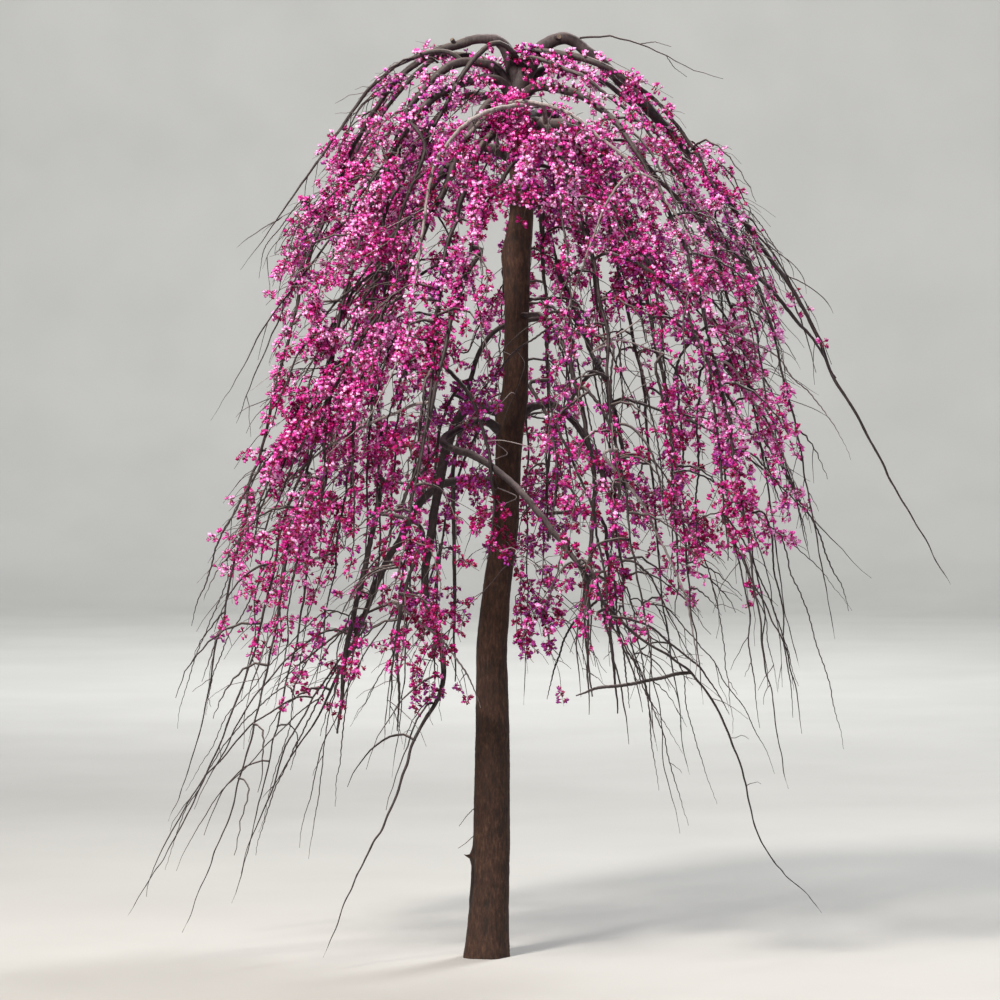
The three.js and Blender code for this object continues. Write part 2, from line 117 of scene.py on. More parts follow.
# Leaders: each is a bough and, beyond its end, the stem of a curtain. The arch leaves the trunk at
# root, rises to crest, runs level for about run and falls to tip, where its last stretch of length
# hang leans out by flare; swing is how far its heading turns on the way. Wood is the length of the
# bough, bloom the share of the stem that flowers, twigs how many the solid model has, and reach how
# long those are beside the usual ones.
LEADER_FIELDS = ("name", "heading", "swing", "root", "crest", "run", "tip", "hang", "flare", "thick",
                 "wood", "bloom", "twigs", "reach")
LEADERS = [
    ("right_outer", 6, -6, 2325, (135, 2496), 150, (1179, 1005), 500, 30, 19, 540, 0.6, 6, 1),
    ("right_high", -14, 2, 2352, (70, 2458), 560, (872, 867), 500, 10, 12, 200, 0.82, 7, 1),
    ("right_front", -42, 6, 2290, (100, 2360), 560, (870, 500), 600, 14, 13, 240, 0.75, 7, 1),
    ("front_right", -70, 12, 2190, (110, 2262), 330, (660, 610), 500, 8, 13, 200, 0.85, 7, 1),
    ("front_low", 244, -8, 2170, (100, 2236), 330, (660, 600), 600, 12, 13, 200, 0.82, 6, 1),
    ("front_left", 232, -20, 2270, (95, 2318), 120, (720, 1290), 350, 50, 13, 420, 0.8, 6, 1),
    ("left_front", 212, -4, 2300, (115, 2385), 470, (985, 118), 650, 30, 13, 300, 0.7, 7, 1),
    ("left_outer", 180, 0, 2362, (78, 2492), 560, (940, 352), 700, 20, 14, 230, 0.75, 7, 1),
    ("left_high", 160, 6, 2335, (180, 2452), 190, (800, 1440), 450, 20, 11, 200, 0.9, 6, 1),
    ("left_long", 197, -2, 2310, (140, 2430), 330, (1060, 143), 800, 37, 13, 260, 0.66, 7, 1),
    ("left_back", 140, 10, 2235, (130, 2350), 480, (930, 89), 800, 20, 12, 220, 0.7, 6, 1),
    ("back_left", 114, 4, 2190, (130, 2280), 430, (800, 430), 600, 12, 13, 180, 0.78, 6, 1),
    ("back", 86, 2, 2260, (130, 2400), 430, (800, 620), 600, 10, 12, 200, 0.78, 6, 1),
    ("back_right", 58, -4, 2205, (130, 2300), 450, (830, 440), 600, 14, 13, 180, 0.78, 6, 1),
    ("right_back", 32, -6, 2295, (130, 2420), 540, (880, 760), 600, 12, 12, 210, 0.8, 6, 1),
    ("inner_right", -14, -6, 2215, (130, 2262), 230, (520, 700), 500, 8, 16, 200, 0.85, 6, 0.75),
    ("inner_left", 176, 10, 2130, (110, 2190), 240, (560, 720), 500, 8, 13, 190, 0.85, 6, 0.75),
    ("inner_back", 68, 14, 2060, (100, 2120), 180, (430, 900), 450, 8, 11, 180, 0.85, 5, 0.75),
    ("top_front", 266, 6, 2255, (58, 2338), 110, (270, 2000), 150, 12, 9, 130, 1, 5, 0.42),
    ("low_left", 188, 24, 1466, (110, 1492), 140, (590, 34), 600, 34, 15, 760, 0.3, 4, 1),
    ("low_back_left", 168, -6, 1262, (132, 1300), 220, (720, 412), 400, 50, 13, 620, 0.4, 4, 1),
    ("low_front", 200, 165, 1400, (150, 1462), 260, (870, 108), 420, 34, 11, 740, 0.3, 4, 1),
    ("low_right", 16, -10, 1440, (120, 1500), 130, (390, 560), 500, 10, 10, 330, 0.9, 5, 1),
]
# Places along an arch, the width of a bend there, and how far it carries the arch off its line.
BENDS = {
    "right_outer": [(0.62, 0.2, (44, 0, 12))],
    "low_left": [(0.68, 0.07, (96, 0, 0)), (0.8, 0.06, (46, 0, 0))],
    "low_front": [(0.27, 0.07, (-85, 0, -35)), (0.5, 0.11, (40, 0, 25)), (0.76, 0.13, (-10, 0, 175)),
                  (0.9, 0.07, (-90, 0, 10))],
}
SPLIT_BOUGHS = {"low_front": ("bough_low_front", "bough_low_front_far")}
CURTAINS = ["curtain_" + row[0] for row in LEADERS]
BOUGHS = [node for row in LEADERS for node in SPLIT_BOUGHS.get(row[0], ("bough_" + row[0],))]

# ---------------------------------------------------------------- sizes of the finer growth

# How far growth wanders off its line, over what length, and the seed of that noise.
WANDER = [(16, 300, 11), (7, 105, 21), (3, 42, 27)]
NOISE_PRIMES = np.array([73856093, 19349663, 83492791], np.uint64)

HEAD_HEIGHT = 1990.0  # above it the head hides the trunk, and growth may pass before it
HIGH_ROOT = 1800  # leaders that spring from above it are the crown's, the others low boughs
LOWEST_TWIG_ROOT = 950
WHIP_BLOOM = 0.5  # a leader with less bloom than this ends in a bare whip
WHIP_TWIGS = 0.4  # share of a whip's stem that bears twigs

# Patches of thin and of rich blossom, right through the crown: X, Z, half width, half height, and how
# many times the usual blossom there is at the middle.
PATCHES = [
    (330, 1540, 165, 230, 0.1), (250, 1180, 170, 200, 0.6), (830, 1860, 170, 330, 0.03),
    (930, 1480, 120, 210, 0.08), (-560, 2120, 110, 110, 0.3), (-650, 1800, 90, 160, 0.4),
    (-330, 1790, 190, 120, 2.3), (-110, 1680, 120, 340, 1.8), (-263, 1290, 120, 130, 1.9),
    (130, 920, 100, 110, 2.0), (-205, 2375, 80, 65, 0.35), (-60, 2490, 300, 55, 0.4),
    (560, 2300, 120, 90, 0.3), (-690, 1010, 140, 110, 0.5), (-60, 870, 200, 110, 2.0),
    (560, 970, 160, 80, 0.5), (400, 1660, 90, 90, 0.3), (550, 1540, 75, 110, 1.8),
    (387, 1440, 85, 85, 0.15), (-425, 1830, 130, 110, 1.7), (-180, 1780, 130, 80, 1.5),
    (470, 1790, 150, 80, 1.7), (560, 1950, 100, 90, 2.3), (-180, 2110, 130, 60, 1.5),
    (370, 2100, 110, 60, 1.5), (720, 2000, 70, 170, 0.3), (62, 1960, 70, 70, 2.2),
    (300, 2000, 100, 90, 0.7), (62, 1600, 60, 110, 0.2), (-587, 1140, 90, 90, 1.9),
    (-425, 1130, 80, 80, 1.3), (-100, 1130, 80, 75, 0.35), (-100, 1450, 60, 80, 0.7),
    (62, 920, 70, 100, 1.7), (-587, 1450, 70, 90, 1.5), (225, 970, 75, 70, 0.65), (-590, 800, 90, 80, 0.15),
    (-425, 800, 80, 60, 1.4), (62, 1290, 70, 70, 1.8), (712, 1290, 90, 190, 1.4),
    (-587, 1457, 80, 80, 1.35), (-425, 1457, 70, 70, 0.75), (90, 2290, 70, 50, 0.7),
]

# Limbs on the face of the crown. Each leaves other wood at X and Z and ends at reach and drop from
# there. Spread and hang are the shares of the reach that its two ends head for, lift is the height
# that its root heads for, near and far are the depths of its ends behind the trunk's axis. Bloom is
# how much of it flowers, 1 for all of it, and sunlit is 1 where it is drawn in paler bark as painted
# sunlight, or 0.5 where it only stands clear of blossom.
LIMB_FIELDS = ("x", "z", "reach", "drop", "spread", "lift", "hang", "near", "far", "thick", "tip", "bloom",
               "sunlit")
LIMBS = [
    # over the head
    (87, 2409, -324, 449, 0.33, 275, 0.83, -30, -190, 9.5, 3, 0.6, 0.5),
    (-67, 2440, -600, 578, 0.33, 100, 0.7, -40, -60, 7.5, 1, 0.5, 0.5),
    (84, 2458, 215, 101, 0.33, 36, 0.92, -20, -70, 5.5, 3.6, 0.5, 0),
    (95, 2429, 511, 521, 0.3, 45, 0.9, -50, -300, 6.5, 2.6, 0.8, 0),
    (73, 2442, -196, 179, 0.33, 0, 0.6, -10, 60, 4, 1.6, 0.3, 0),
    (-45, 2218, 598, 338, 0.33, 286, 0.95, -200, -420, 6.2, 3, 0.8, 1),
    (126, 2298, -532, 928, 0.85, -40, 0.24, -250, -700, 7.5, 1.6, 0.4, 1),
    (486, 2048, -305, 405, 0.4, 230, 0.93, -380, -460, 4, 2, 0.5, 1),
    (115, 2173, -206, 466, 0.6, -60, 0.7, -200, -380, 7.5, 3.2, 0.9, 0),
    # the right
    (175, 2134, 292, 595, 0.7, 16, 0.97, -120, -330, 6, 3.6, 0.8, 0),
    (413, 2204, 527, 592, 0.4, -18, 0.72, -60, 0, 4.5, 2, 0.8, 0),
    (407, 2171, 548, 595, 0.3, -200, 0.67, -230, -10, 7, 4.6, 0.8, 0.5),
    (328, 1889, 296, 793, 1.1, -120, 0.8, -420, -450, 4.6, 3, 0.8, 0.5),
    (265, 1643, 162, -115, 0.33, 40, 0.67, -420, -420, 3, 1.6, 0.6, 1),
    (289, 1664, 245, 52, 0.3, 30, 0.67, -425, -380, 2.4, 1.2, 0.6, 1),
    (651, 1686, 331, 337, 0.4, -40, 0.9, -140, -20, 3.5, 1, 0.6, 1),
    (666, 1565, 226, 407, 0.33, -130, 0.75, -260, -140, 3.6, 1, 0.8, 1),
    (565, 1306, 410, 361, 0.4, -80, 0.75, -260, -110, 3.2, 0.9, 0.7, 0),
    (310, 1370, 234, 588, 0.45, -150, 1.0, -500, -440, 4.6, 2, 0.7, 1),
    (442, 1591, 60, 658, 0.7, -200, 1.0, -360, -330, 4.2, 2.6, 0.8, 0),
    (284, 964, 351, 268, 0.5, -10, 0.8, -520, -400, 4.2, 2.4, 0.7, 0),
    (274, 1067, 228, 479, 0.25, -160, 0.6, -500, -520, 4.2, 0.9, 0.5, 0),
    (534, 793, -296, 60, 0.33, 0, 0.8, -408, -340, 5, 4.2, 0.1, 0.5),
    # beside the trunk
    (-10, 1890, -205, 651, 0.5, -150, 0.7, -330, -450, 7.5, 5.6, 0.5, 0.5),
    (-107, 1602, 113, 490, 1.2, -145, 1.1, -300, -340, 6.6, 3.6, 0.5, 0),
    (116, 1552, 49, 399, 1.9, -133, 1.3, -140, -220, 5.6, 3.6, 0.6, 0),
    (210, 1645, 74, 918, 1.5, -298, 0.8, -240, -290, 7.5, 4.6, 0.5, 0),
    (273, 1544, 57, 479, 2.1, -150, 1.0, -300, -340, 5.4, 3, 0.6, 0),
    (192, 1434, 147, 550, 0.6, -150, 0.8, -390, -400, 4.4, 2.6, 0.6, 0),
    (166, 1699, -232, 224, 0.4, -40, 0.75, -130, -170, 3.4, 1.6, 0.3, 0),
    # the left
    (-182, 2261, -570, 813, 0.33, -270, 0.67, -240, -130, 6, 0.9, 0.8, 0.5),
    (-156, 2154, -384, 115, 0.33, 0, 0.67, -250, -90, 2.4, 0.8, 0.6, 0),
    (-156, 2175, -126, 504, 0.4, -150, 0.8, -260, -280, 6.4, 4, 0.8, 0),
    (-220, 2103, -95, 485, 0.8, -130, 0.8, -200, -230, 6, 3.8, 0.8, 0),
    (-222, 1502, -553, 480, 0.4, -80, 0.7, -360, -190, 4.8, 1.2, 0.6, 1),
    (-258, 1758, -294, 560, 0.45, -150, 0.8, -420, -380, 5.6, 3, 0.9, 0),
    (-279, 1273, -111, 646, 0.4, -200, 0.8, -220, -230, 8, 7, 0.6, 0),
    (-176, 1144, -57, 506, 0.7, -160, 0.9, -330, -330, 5.4, 4.4, 0.6, 0),
    (-234, 974, 203, 283, 0.5, -70, 0.9, -300, -190, 4.8, 2, 0.8, 1),
]
LIMB_RINGS = 56
LIMB_TIP_RINGS = 14  # rings over which a limb narrows to its tip
FELLOW_DEPTH = -480  # limbs whose ends add up to less than this have a fellow on the far side

# Fans of lesser limbs: how many, the places between which their roots lie and how far they scatter
# from there, the ranges of reach, drop, depth and radius, how much they bloom, and what share of them
# is drawn in paler bark as painted sunlight.
FANS = [
    (4, (575, 2140), (690, 1790), 30, (80, 160), (330, 620), (-160, -60), (2.5, 3.5), 1, 0),
    (4, (690, 1980), (820, 1820), 25, (90, 130), (80, 230), (-30, 0), (1.5, 2.2), 0.2, 0),
    (9, (560, 1270), (750, 1100), 70, (70, 210), (320, 560), (-360, -200), (2, 3.6), 0.45, 0),
    (10, (165, 1700), (440, 1640), 60, (-40, 70), (380, 610), (-280, 120), (2.6, 4.2), 0.5, 0),
    (7, (225, 1120), (380, 1000), 60, (-30, 90), (240, 420), (-430, -110), (1.8, 4.2), 0.5, 0),
    (9, (-170, 2040), (-540, 1410), 45, (-310, -150), (400, 490), (-400, -210), (3, 4.8), 0.85, 0),
    (4, (-250, 1590), (-410, 1530), 30, (-40, 15), (430, 650), (-400, -260), (4, 5.2), 0.8, 0),
    (12, (-330, 2110), (-500, 1980), 50, (-160, -90), (70, 200), (-240, -60), (1.2, 1.8), 0.3, 0),
    (14, (-200, 1990), (-520, 1560), 60, (-190, -80), (20, 170), (-420, -300), (1.2, 1.9), 0.6, 0.6),
    (7, (-360, 960), (-560, 680), 60, (-370, -190), (400, 680), (-260, -140), (2, 3.4), 0.3, 0),
    (4, (-215, 950), (-430, 960), 30, (-250, -60), (540, 660), (-320, -250), (2.2, 2.8), 0.4, 0),
    (12, (-90, 1600), (90, 1080), 80, (-190, 190), (-60, 110), (-380, -140), (1.1, 2.2), 0.35, 0.6),
    (8, (100, 1700), (-10, 1480), 50, (-110, -40), (90, 190), (-220, -110), (1.1, 1.6), 0.2, 0.2),
    (11, (330, 1690), (600, 1400), 60, (-110, 100), (-20, 90), (-300, -80), (1.3, 1.8), 0.3, 0.5),
    (8, (70, 1080), (150, 880), 35, (-20, 80), (80, 200), (-120, -90), (1.1, 1.7), 1, 0),
    (4, (-170, 830), (-60, 800), 30, (-30, 30), (80, 160), (-220, -160), (1.1, 1.5), 1, 0),
    (11, (-330, 2190), (400, 2210), 60, (-60, 60), (110, 240), (-420, -220), (1.5, 2.4), 1, 0),
    (5, (-480, 2010), (-390, 1840), 50, (-90, -20), (150, 260), (-360, -240), (1.5, 2.4), 1, 0),
    (6, (330, 2090), (570, 1970), 50, (20, 110), (150, 290), (-380, -200), (1.5, 2.4), 1, 0),
    (6, (-20, 980), (-190, 850), 40, (-150, -60), (80, 200), (-350, -320), (1.2, 2.2), 0.3, 0),
    (5, (-60, 1460), (80, 1030), 40, (50, 110), (60, 120), (-340, -110), (1.3, 1.5), 1, 0),
]

# Single twigs that stand clear of the crown, as points, with their radius at the root.
LONE_TWIGS = [
    ([(250, -10, 2488), (333, -14, 2493), (414, -22, 2471), (482, -26, 2440), (550, -30, 2402),
      (636, -36, 2376)], 3.2),
    ([(414, -22, 2471), (452, -30, 2476), (496, -44, 2462)], 1.6),
    ([(482, -26, 2440), (505, -10, 2408), (540, 4, 2384)], 1.4),
    ([(-34, -16, 406), (-56, -22, 384), (-76, -30, 357)], 1.3),
    ([(-38, -10, 328), (-58, -18, 310), (-78, -24, 297)], 1.3),
]

# Swellings and wounds on the trunk: height, heading, how far out (or in), width, half height.
KNOTS = [
    (1906, 176, 7, 22, 34), (1484, 188, 6, 24, 30), (1492, 186, -5, 7, 9), (1290, 172, 5, 20, 24),
    (2318, 150, 7, 16, 16), (640, 250, 4, 20, 40), (900, 320, 3, 22, 30), (1120, 262, 4, 18, 22),
    (212, 196, -9, 13, 42), (212, 178, 3, 7, 50), (212, 222, 4, 8, 50), (420, 300, 3, 16, 22),
    (1700, 290, 4, 16, 18), (1960, 300, 5, 15, 18), (271, 182, 8, 11, 12),
]

# Pruned stubs: leader, share of its length, heading, pitch, radius, length.
STUBS = [
    ("low_left", 0.46, 205, -70, 7.5, 38), ("low_back_left", 0.52, 172, -62, 7, 42),
    ("low_left", 0.30, 230, -30, 6, 30),
    ("low_front", 0.36, 250, -60, 5, 30), ("right_outer", 0.10, 300, 20, 8, 26),
    ("right_outer", 0.22, 330, 35, 6, 24), ("left_outer", 0.10, 230, 40, 6, 24),
    ("inner_right", 0.10, 310, 30, 7, 26), ("front_left", 0.20, 260, 0, 6, 24),
    ("low_back_left", 0.20, 200, 40, 5.5, 22), ("left_front", 0.12, 250, 20, 6, 22),
]
STUB_SIDES = 12

TRUNK_ROUNDING = 22  # height over which the trunk's profile is rounded off
TRUNK_CAP = 25  # height over which its top closes
MOST_SWELLING = 14
COLLAR_SUNK = 6  # how far a collar sits below the bough that it bears
COLLAR_FADE = 22
COLLAR_LENGTH = 200
PLATE_WIDTH = 7.0  # plates of the trunk's bark
PLATE_STRETCH = 7  # how many times as high as wide they are
FLECK_SIZE = (3.2, 3.2, 1.7)

BARE_BOUGH_ROOT = 2340  # leaders that spring from above it have no blossom on their boughs
STOUT = 2.9  # sunlit limbs thicker than this, painted paler or only kept clear, have nothing before them

# Flowers: life size is 1, and they are drawn larger so that fewer of them fill the crown.
FLOWER_SCALE = 1.22
SURE = 9.0  # marks the places on a limb that flowers from end to end
CLOSED_SHARE = 0.12  # share of the flowers that are still in bud
ORCHID_SHADE = 0.43  # flowers shaded by more than this get bluer keels, as painted shade

# Every finish's colours, as sRGB hex values, from its deepest to its palest.
COLOURS = {
    "trunk_bark_furrowed": ("#29170E", "#40281B", "#5B4030"),
    # The fourth colour of a bark is painted sunlight on the upward-facing sides of limbs.
    "bough_bark_smooth": ("#261B1D", "#3B2E31", "#544548", "#9C9190"),
    "twig_bark_thin": ("#221719", "#36292B", "#4F4042", "#A89C96"),
    # Twig bark in paler greys for limbs that stand in the sun: painted sunlight.
    "twig_bark_painted_sunlit": ("#6E6463", "#9A9090", "#BDB5B4", "#DED8D8"),
    "weathered_cut_wood": ("#5E5147", "#7C6C5E"),
    # Keel and petal tints go deep inside the crown and low down as painted shade, and pale near its outside
    # and top as painted light.
    "keels_deep_magenta": ("#640428", "#980F4C"),
    "keels_magenta": ("#A60E66", "#CC2A90"),
    "keels_bright_pink": ("#DC40AA", "#F47AD0"),
    "keels_pale_pink": ("#F49CE0", "#FFD4F6"),
    # Bluer keels for shaded flowers: painted shade.
    "keels_painted_shade_orchid": ("#8A2A84", "#B84CB0"),
    "petals_rose": ("#880B46", "#B8206C"),
    "petals_pink": ("#C62C90", "#E656B8"),
    "petals_pale_pink": ("#F084D6", "#FFC8F2"),
    "calyx_wine_red": ("#66081E", "#9E1838"),
    "bud_deep_magenta": ("#7A0830", "#AC144E"),
    "pale_studio_floor": ("#B0B0AD", "#B5B5B2"),
}

PAINTED_FURROW_SHADE = "#8F8682"  # painted shade: what the bottom of a furrow keeps of the bark's colour
PATCH_SHADE = "#D2CAC6"  # and what its broad dark patches keep
BARK_PATCH_MM = 55
BARK_BUMP_MM = 1.4
FLOWER_TONE_MM = 6.0

SWEEP_RADIUS = 22600.0
SWEEP_BEND = 4000.0
SWEEP_HEIGHT = 12000.0

# Studio lights, in metres: name, place, what it faces, width, watts and colour.
TREE_MIDDLE = (0.05, 0, 1.3)
FAR_WALL = (0, 22, 2.5)
LIGHTS = [
    ("key", (-3.6, -5.6, 7.6), TREE_MIDDLE, 1.4, 1380, "#FFF6EC"),
    ("fill", (6.0, -6.0, 3.2), TREE_MIDDLE, 4.5, 90, "#F0F4FF"),
    ("rim", (3.2, 4.6, 7.0), TREE_MIDDLE, 2.0, 560, "#FFFFFF"),
    ("backdrop", (0.0, 9.0, 9.0), FAR_WALL, 6.0, 1700, "#FFFFFF"),
]
AIR_COLOUR = "#EEF2FA"
AIR_STRENGTH = 0.34

# ---------------------------------------------------------------- numbers, directions and noise


def mix(a, b, t):
    return a + (b - a) * t


def direction(heading, pitch):
    heading, pitch = np.radians(heading), np.radians(pitch)
    level = np.cos(pitch)
    return np.stack([level * np.cos(heading), level * np.sin(heading), np.sin(pitch) + 0 * heading], -1)


def unit(v):
    return v / np.maximum(np.linalg.norm(v, axis=-1, keepdims=True), 1e-9)


def random_stream(seed):
    """The solid model's repeatable stream of numbers from 0 to 1."""
    state = (seed * 0x9E3779B1) % 2**32

    def following():
        nonlocal state
        state = (state * 1664525 + 1013904223) % 2**32
        return state / 2**32

    following()
    following()
    return following


def lattice_noise(points, seed):
    """Smooth noise from -1 to 1 whose features are about one unit across."""
    cell = np.floor(points).astype(np.int64)
    part = points - cell
    part = part * part * (3 - 2 * part)
    total = np.zeros(len(points))
    for corner in range(8):
        step = np.array([corner & 1, corner >> 1 & 1, corner >> 2 & 1])
        at = (cell + step).astype(np.uint64) * NOISE_PRIMES
        value = at[:, 0] ^ at[:, 1] ^ at[:, 2]
        value = (value ^ np.uint64(seed * 2654435761)) * np.uint64(0x9E3779B97F4A7C15)
        value = (value ^ value >> np.uint64(29)) * np.uint64(0xBF58476D1CE4E5B9)
        share = np.where(step, part, 1 - part).prod(1)
        total += share * ((value >> np.uint64(40)).astype(float) / 2**23 - 1)
    return total


def noise_vectors(points, seed):
    return np.stack([lattice_noise(points, seed + k) for k in range(3)], -1)


def wander(points):
    """Bends the crown here and there, so that no limb keeps a perfect arch; the trunk stays."""
    flat = points.reshape(-1, 3)
    centre, radius = trunk_at(np.clip(flat[:, 2], 0, TRUNK_TOP))
    away = np.linalg.norm(flat - centre, axis=1) - radius
    held = np.clip(away / 110, 0, 1) * np.clip(flat[:, 2] / 200, 0, 1)
    shift = sum(far * noise_vectors(flat / wide, seed) for far, wide, seed in WANDER)
    moved = flat + held[:, None] * shift
    moved[:, 2] = np.maximum(moved[:, 2], 4)
    return moved.reshape(points.shape)


# ---------------------------------------------------------------- lines


class Line:
    """A polyline that can be read at any length along it."""

    def __init__(self, points):
        self.points = np.asarray(points, float)
        steps = np.linalg.norm(np.diff(self.points, axis=0), axis=1)
        self.lengths = np.concatenate([[0], np.cumsum(steps)])
        self.length = self.lengths[-1]

    def at(self, lengths):
        return np.stack([np.interp(lengths, self.lengths, self.points[:, k]) for k in range(3)], -1)

    def tangent_at(self, lengths, reach=6.0):
        return unit(self.at(np.asarray(lengths) + reach) - self.at(np.asarray(lengths) - reach))


def distance_to_line(points, line):
    """How far each point is from a polyline."""
    starts, spans = line.points[:-1], np.diff(line.points, axis=0)
    away = points[:, None] - starts
    share = np.clip((away * spans).sum(-1) / np.maximum((spans * spans).sum(-1), 1e-9), 0, 1)
    return np.linalg.norm(away - share[..., None] * spans, axis=-1).min(1)


def trunk_at(heights):
    """The trunk's axis and radius at some heights."""
    heights = np.asarray(heights, float)
    lean = np.interp(heights, TRUNK_STATIONS[:, 0], TRUNK_STATIONS[:, 1])
    radius = np.interp(heights, TRUNK_STATIONS[:, 0], TRUNK_STATIONS[:, 2])
    sway = TRUNK_SWAY * np.sin(np.pi * heights / TRUNK_SWAY_LENGTH)
    return np.stack([lean, sway, heights], -1), radius


def cubic(a, b, c, d, t):
    return a * (1 - t) ** 3 + 3 * b * t * (1 - t) ** 2 + 3 * c * t * t * (1 - t) + d * t**3


def leader_line(leader, fine=1):
    """A leader's line from the trunk's axis over its crest to its tip, in steps or finer."""
    axis = trunk_at(leader.root)[0]
    (crest_out, crest_z), (tip_out, tip_z) = leader.crest, leader.tip
    under = (0.25 * crest_out, mix(leader.root, crest_z, 0.75))
    rise = [(0, leader.root), under, (0.55 * crest_out, crest_z), leader.crest]
    lean = math.radians(leader.flare)
    hung = (tip_out - leader.hang * math.sin(lean), tip_z + leader.hang * math.cos(lean))
    fall = [leader.crest, (crest_out + leader.run, crest_z), hung, leader.tip]
    profile = []
    for ends, steps, first in ((rise, RISE_STEPS, 0), (fall, FALL_STEPS, 1)):
        t = np.arange(first, steps * fine + 1) / (steps * fine)
        profile.append(np.stack([cubic(*[p[k] for p in ends], t) for k in range(2)], -1))
    profile = np.concatenate(profile)
    share = np.arange(len(profile)) / (len(profile) - 1)
    level = direction(leader.heading + leader.swing * share, 0)
    points = np.array([axis[0], axis[1], 0]) + level * profile[:, :1]
    points[:, 2] = profile[:, 1]
    for at, width, shift in BENDS.get(leader.name, ()):
        points += np.exp(-(((share - at) / width) ** 2))[:, None] * np.array(shift)
    return Line(points)


def leader_radius(leader, lengths):
    left = np.maximum(1 - lengths / leader.line.length, 0)
    return TIP_RADIUS + (leader.thick - TIP_RADIUS) * left**TAPER_POWER


def thinning(leader, lengths):
    """How much slimmer than the solid stem a leader is drawn beyond its bough."""
    return mix(1, 0.55, np.clip((lengths - leader.wood) / 320, 0, 1))


def make_leaders():
    leaders = []
    for index, row in enumerate(LEADERS):
        leader = SimpleNamespace(**dict(zip(LEADER_FIELDS, row)), index=index)
        leader.line = leader_line(leader)
        leader.fine = leader_line(leader, 5)
        shares = np.arange(STEM_RINGS + 1) / STEM_RINGS
        leader.stem = Line(leader.line.at(mix(leader.wood + GAP, leader.line.length - 0.01, shares)))
        leader.bough = Line(leader.line.at(leader.wood * np.arange(13) / 12))
        leaders.append(leader)
    return leaders


# ---------------------------------------------------------------- growth


def weeping_line(start, heading, pitch, length, droop, outward, steps=TWIG_POINTS, hang=HANG_PITCH):
    """A weeping twig: at each step it sinks towards its hanging slope and turns outward."""
    points = [start]
    for _ in range(steps):
        points.append(points[-1] + direction(heading, pitch) * length / steps)
        pitch += (hang - pitch) * droop
        heading += (outward - heading) * TURN_OUT
    return np.array(points)


def sideways(leader):
    """The slope at which finer growth hangs: leaning outward at the sides, steeper before and behind."""
    return mix(-76.0, -58.0, abs(math.cos(math.radians(leader.heading))))


def candidate_twig(leader, number, hang=HANG_PITCH):
    """The solid model's candidate twigs, in the same order of random numbers."""
    random = random_stream(1000 * (leader.index + 1) + number)
    share = 0.03 + 0.8 * random() ** 1.1
    side = 1 if number % 2 else -1
    outward = leader.heading + leader.swing * share
    heading = outward + side * mix(30, 105, random())
    pitch = mix(0, 42, random()) * (1 - share)
    length = mix(280, 520, random()) * (1 - 0.4 * share) * leader.reach
    droop = mix(0.13, 0.3, random())
    start = leader.stem.at(share * leader.stem.length)
    return weeping_line(start, heading, pitch, length, droop, outward, hang=hang), share


def hanging_strand(leader, number):
    """A long pendulous branchlet that leaves the upper stem and soon hangs almost straight down."""
    random = random_stream(7000 * (leader.index + 1) + number)
    share = 0.02 + 0.5 * random()
    side = 1 if number % 2 else -1
    outward = leader.heading + leader.swing * share
    heading = outward + side * mix(10, 110, random())
    pitch = mix(0, 30, random())
    start = leader.stem.at(share * leader.stem.length)
    drop = max(start[2] - mix(560, 1250, random()), 260)
    length = min(mix(520, 1150, random()), drop) * leader.reach
    droop = mix(0.2, 0.34, random())
    slope = sideways(leader) - 8 * random()
    return weeping_line(start, heading, pitch, length, droop, outward, 18, slope), share


def in_own_space(leader, leaders, points, margin):
    own = distance_to_line(points, leader.stem)
    fits = np.ones(len(points), bool)
    for other in leaders:
        if other is not leader:
            fits &= distance_to_line(points, other.stem) > own + margin
    return fits


def clear_of_limbs(leaders, points, air):
    centre, radius = trunk_at(points[:, 2])
    beside = np.linalg.norm((points - centre)[:, :2], axis=1) >= radius + air
    fits = (points[:, 2] >= GROUND_CLEARANCE + air) & (beside | (points[:, 2] >= TRUNK_TOP + 10))
    for leader in leaders:
        fits &= distance_to_line(points, leader.bough) > leader.thick + air
    return fits


def crown_room(points):
    """How far inside the crown's outline each point is, below 0 outside."""
    out = np.hypot(points[:, 0] - CROWN_X, points[:, 1])
    left, right = (np.interp(points[:, 2], CROWN[:, 0], CROWN[:, k]) for k in (1, 2))
    return mix(left, right, 0.5 + 0.5 * (points[:, 0] - CROWN_X) / np.maximum(out, 1)) - out


def in_crown(points):
    """True where a bare twig may be: a little outside the blossom, and further out below it."""
    low, high = (np.array(corner) / MM for corner in CAD_BOX)
    in_box = ((points > low - 5) & (points < high + 5)).all(1)
    spare = TWIG_SPARE + BARE_SPREAD * np.maximum(BARE_BELOW - points[:, 2], 0)
    return in_box & (crown_room(points) > -spare)


def richness(points):
    """How many times the usual blossom there is at each point."""
    rich = np.ones(len(points))
    for x, z, wide, high, times in PATCHES:
        aside, above = (points[:, 0] - x) / wide, (points[:, 2] - z) / high
        rich *= 1 + (times - 1) * np.exp(-(aside**2) - above**2)
    return rich


def clear_of_view(points, half_width, top):
    """False for points in the open gap that shows the trunk from the front."""
    centre = trunk_at(np.clip(points[:, 2], 0, TRUNK_TOP))[0]
    aside = np.abs(points[:, 0] - centre[:, 0]) > half_width
    return aside | (points[:, 1] > 0) | (points[:, 2] > top)


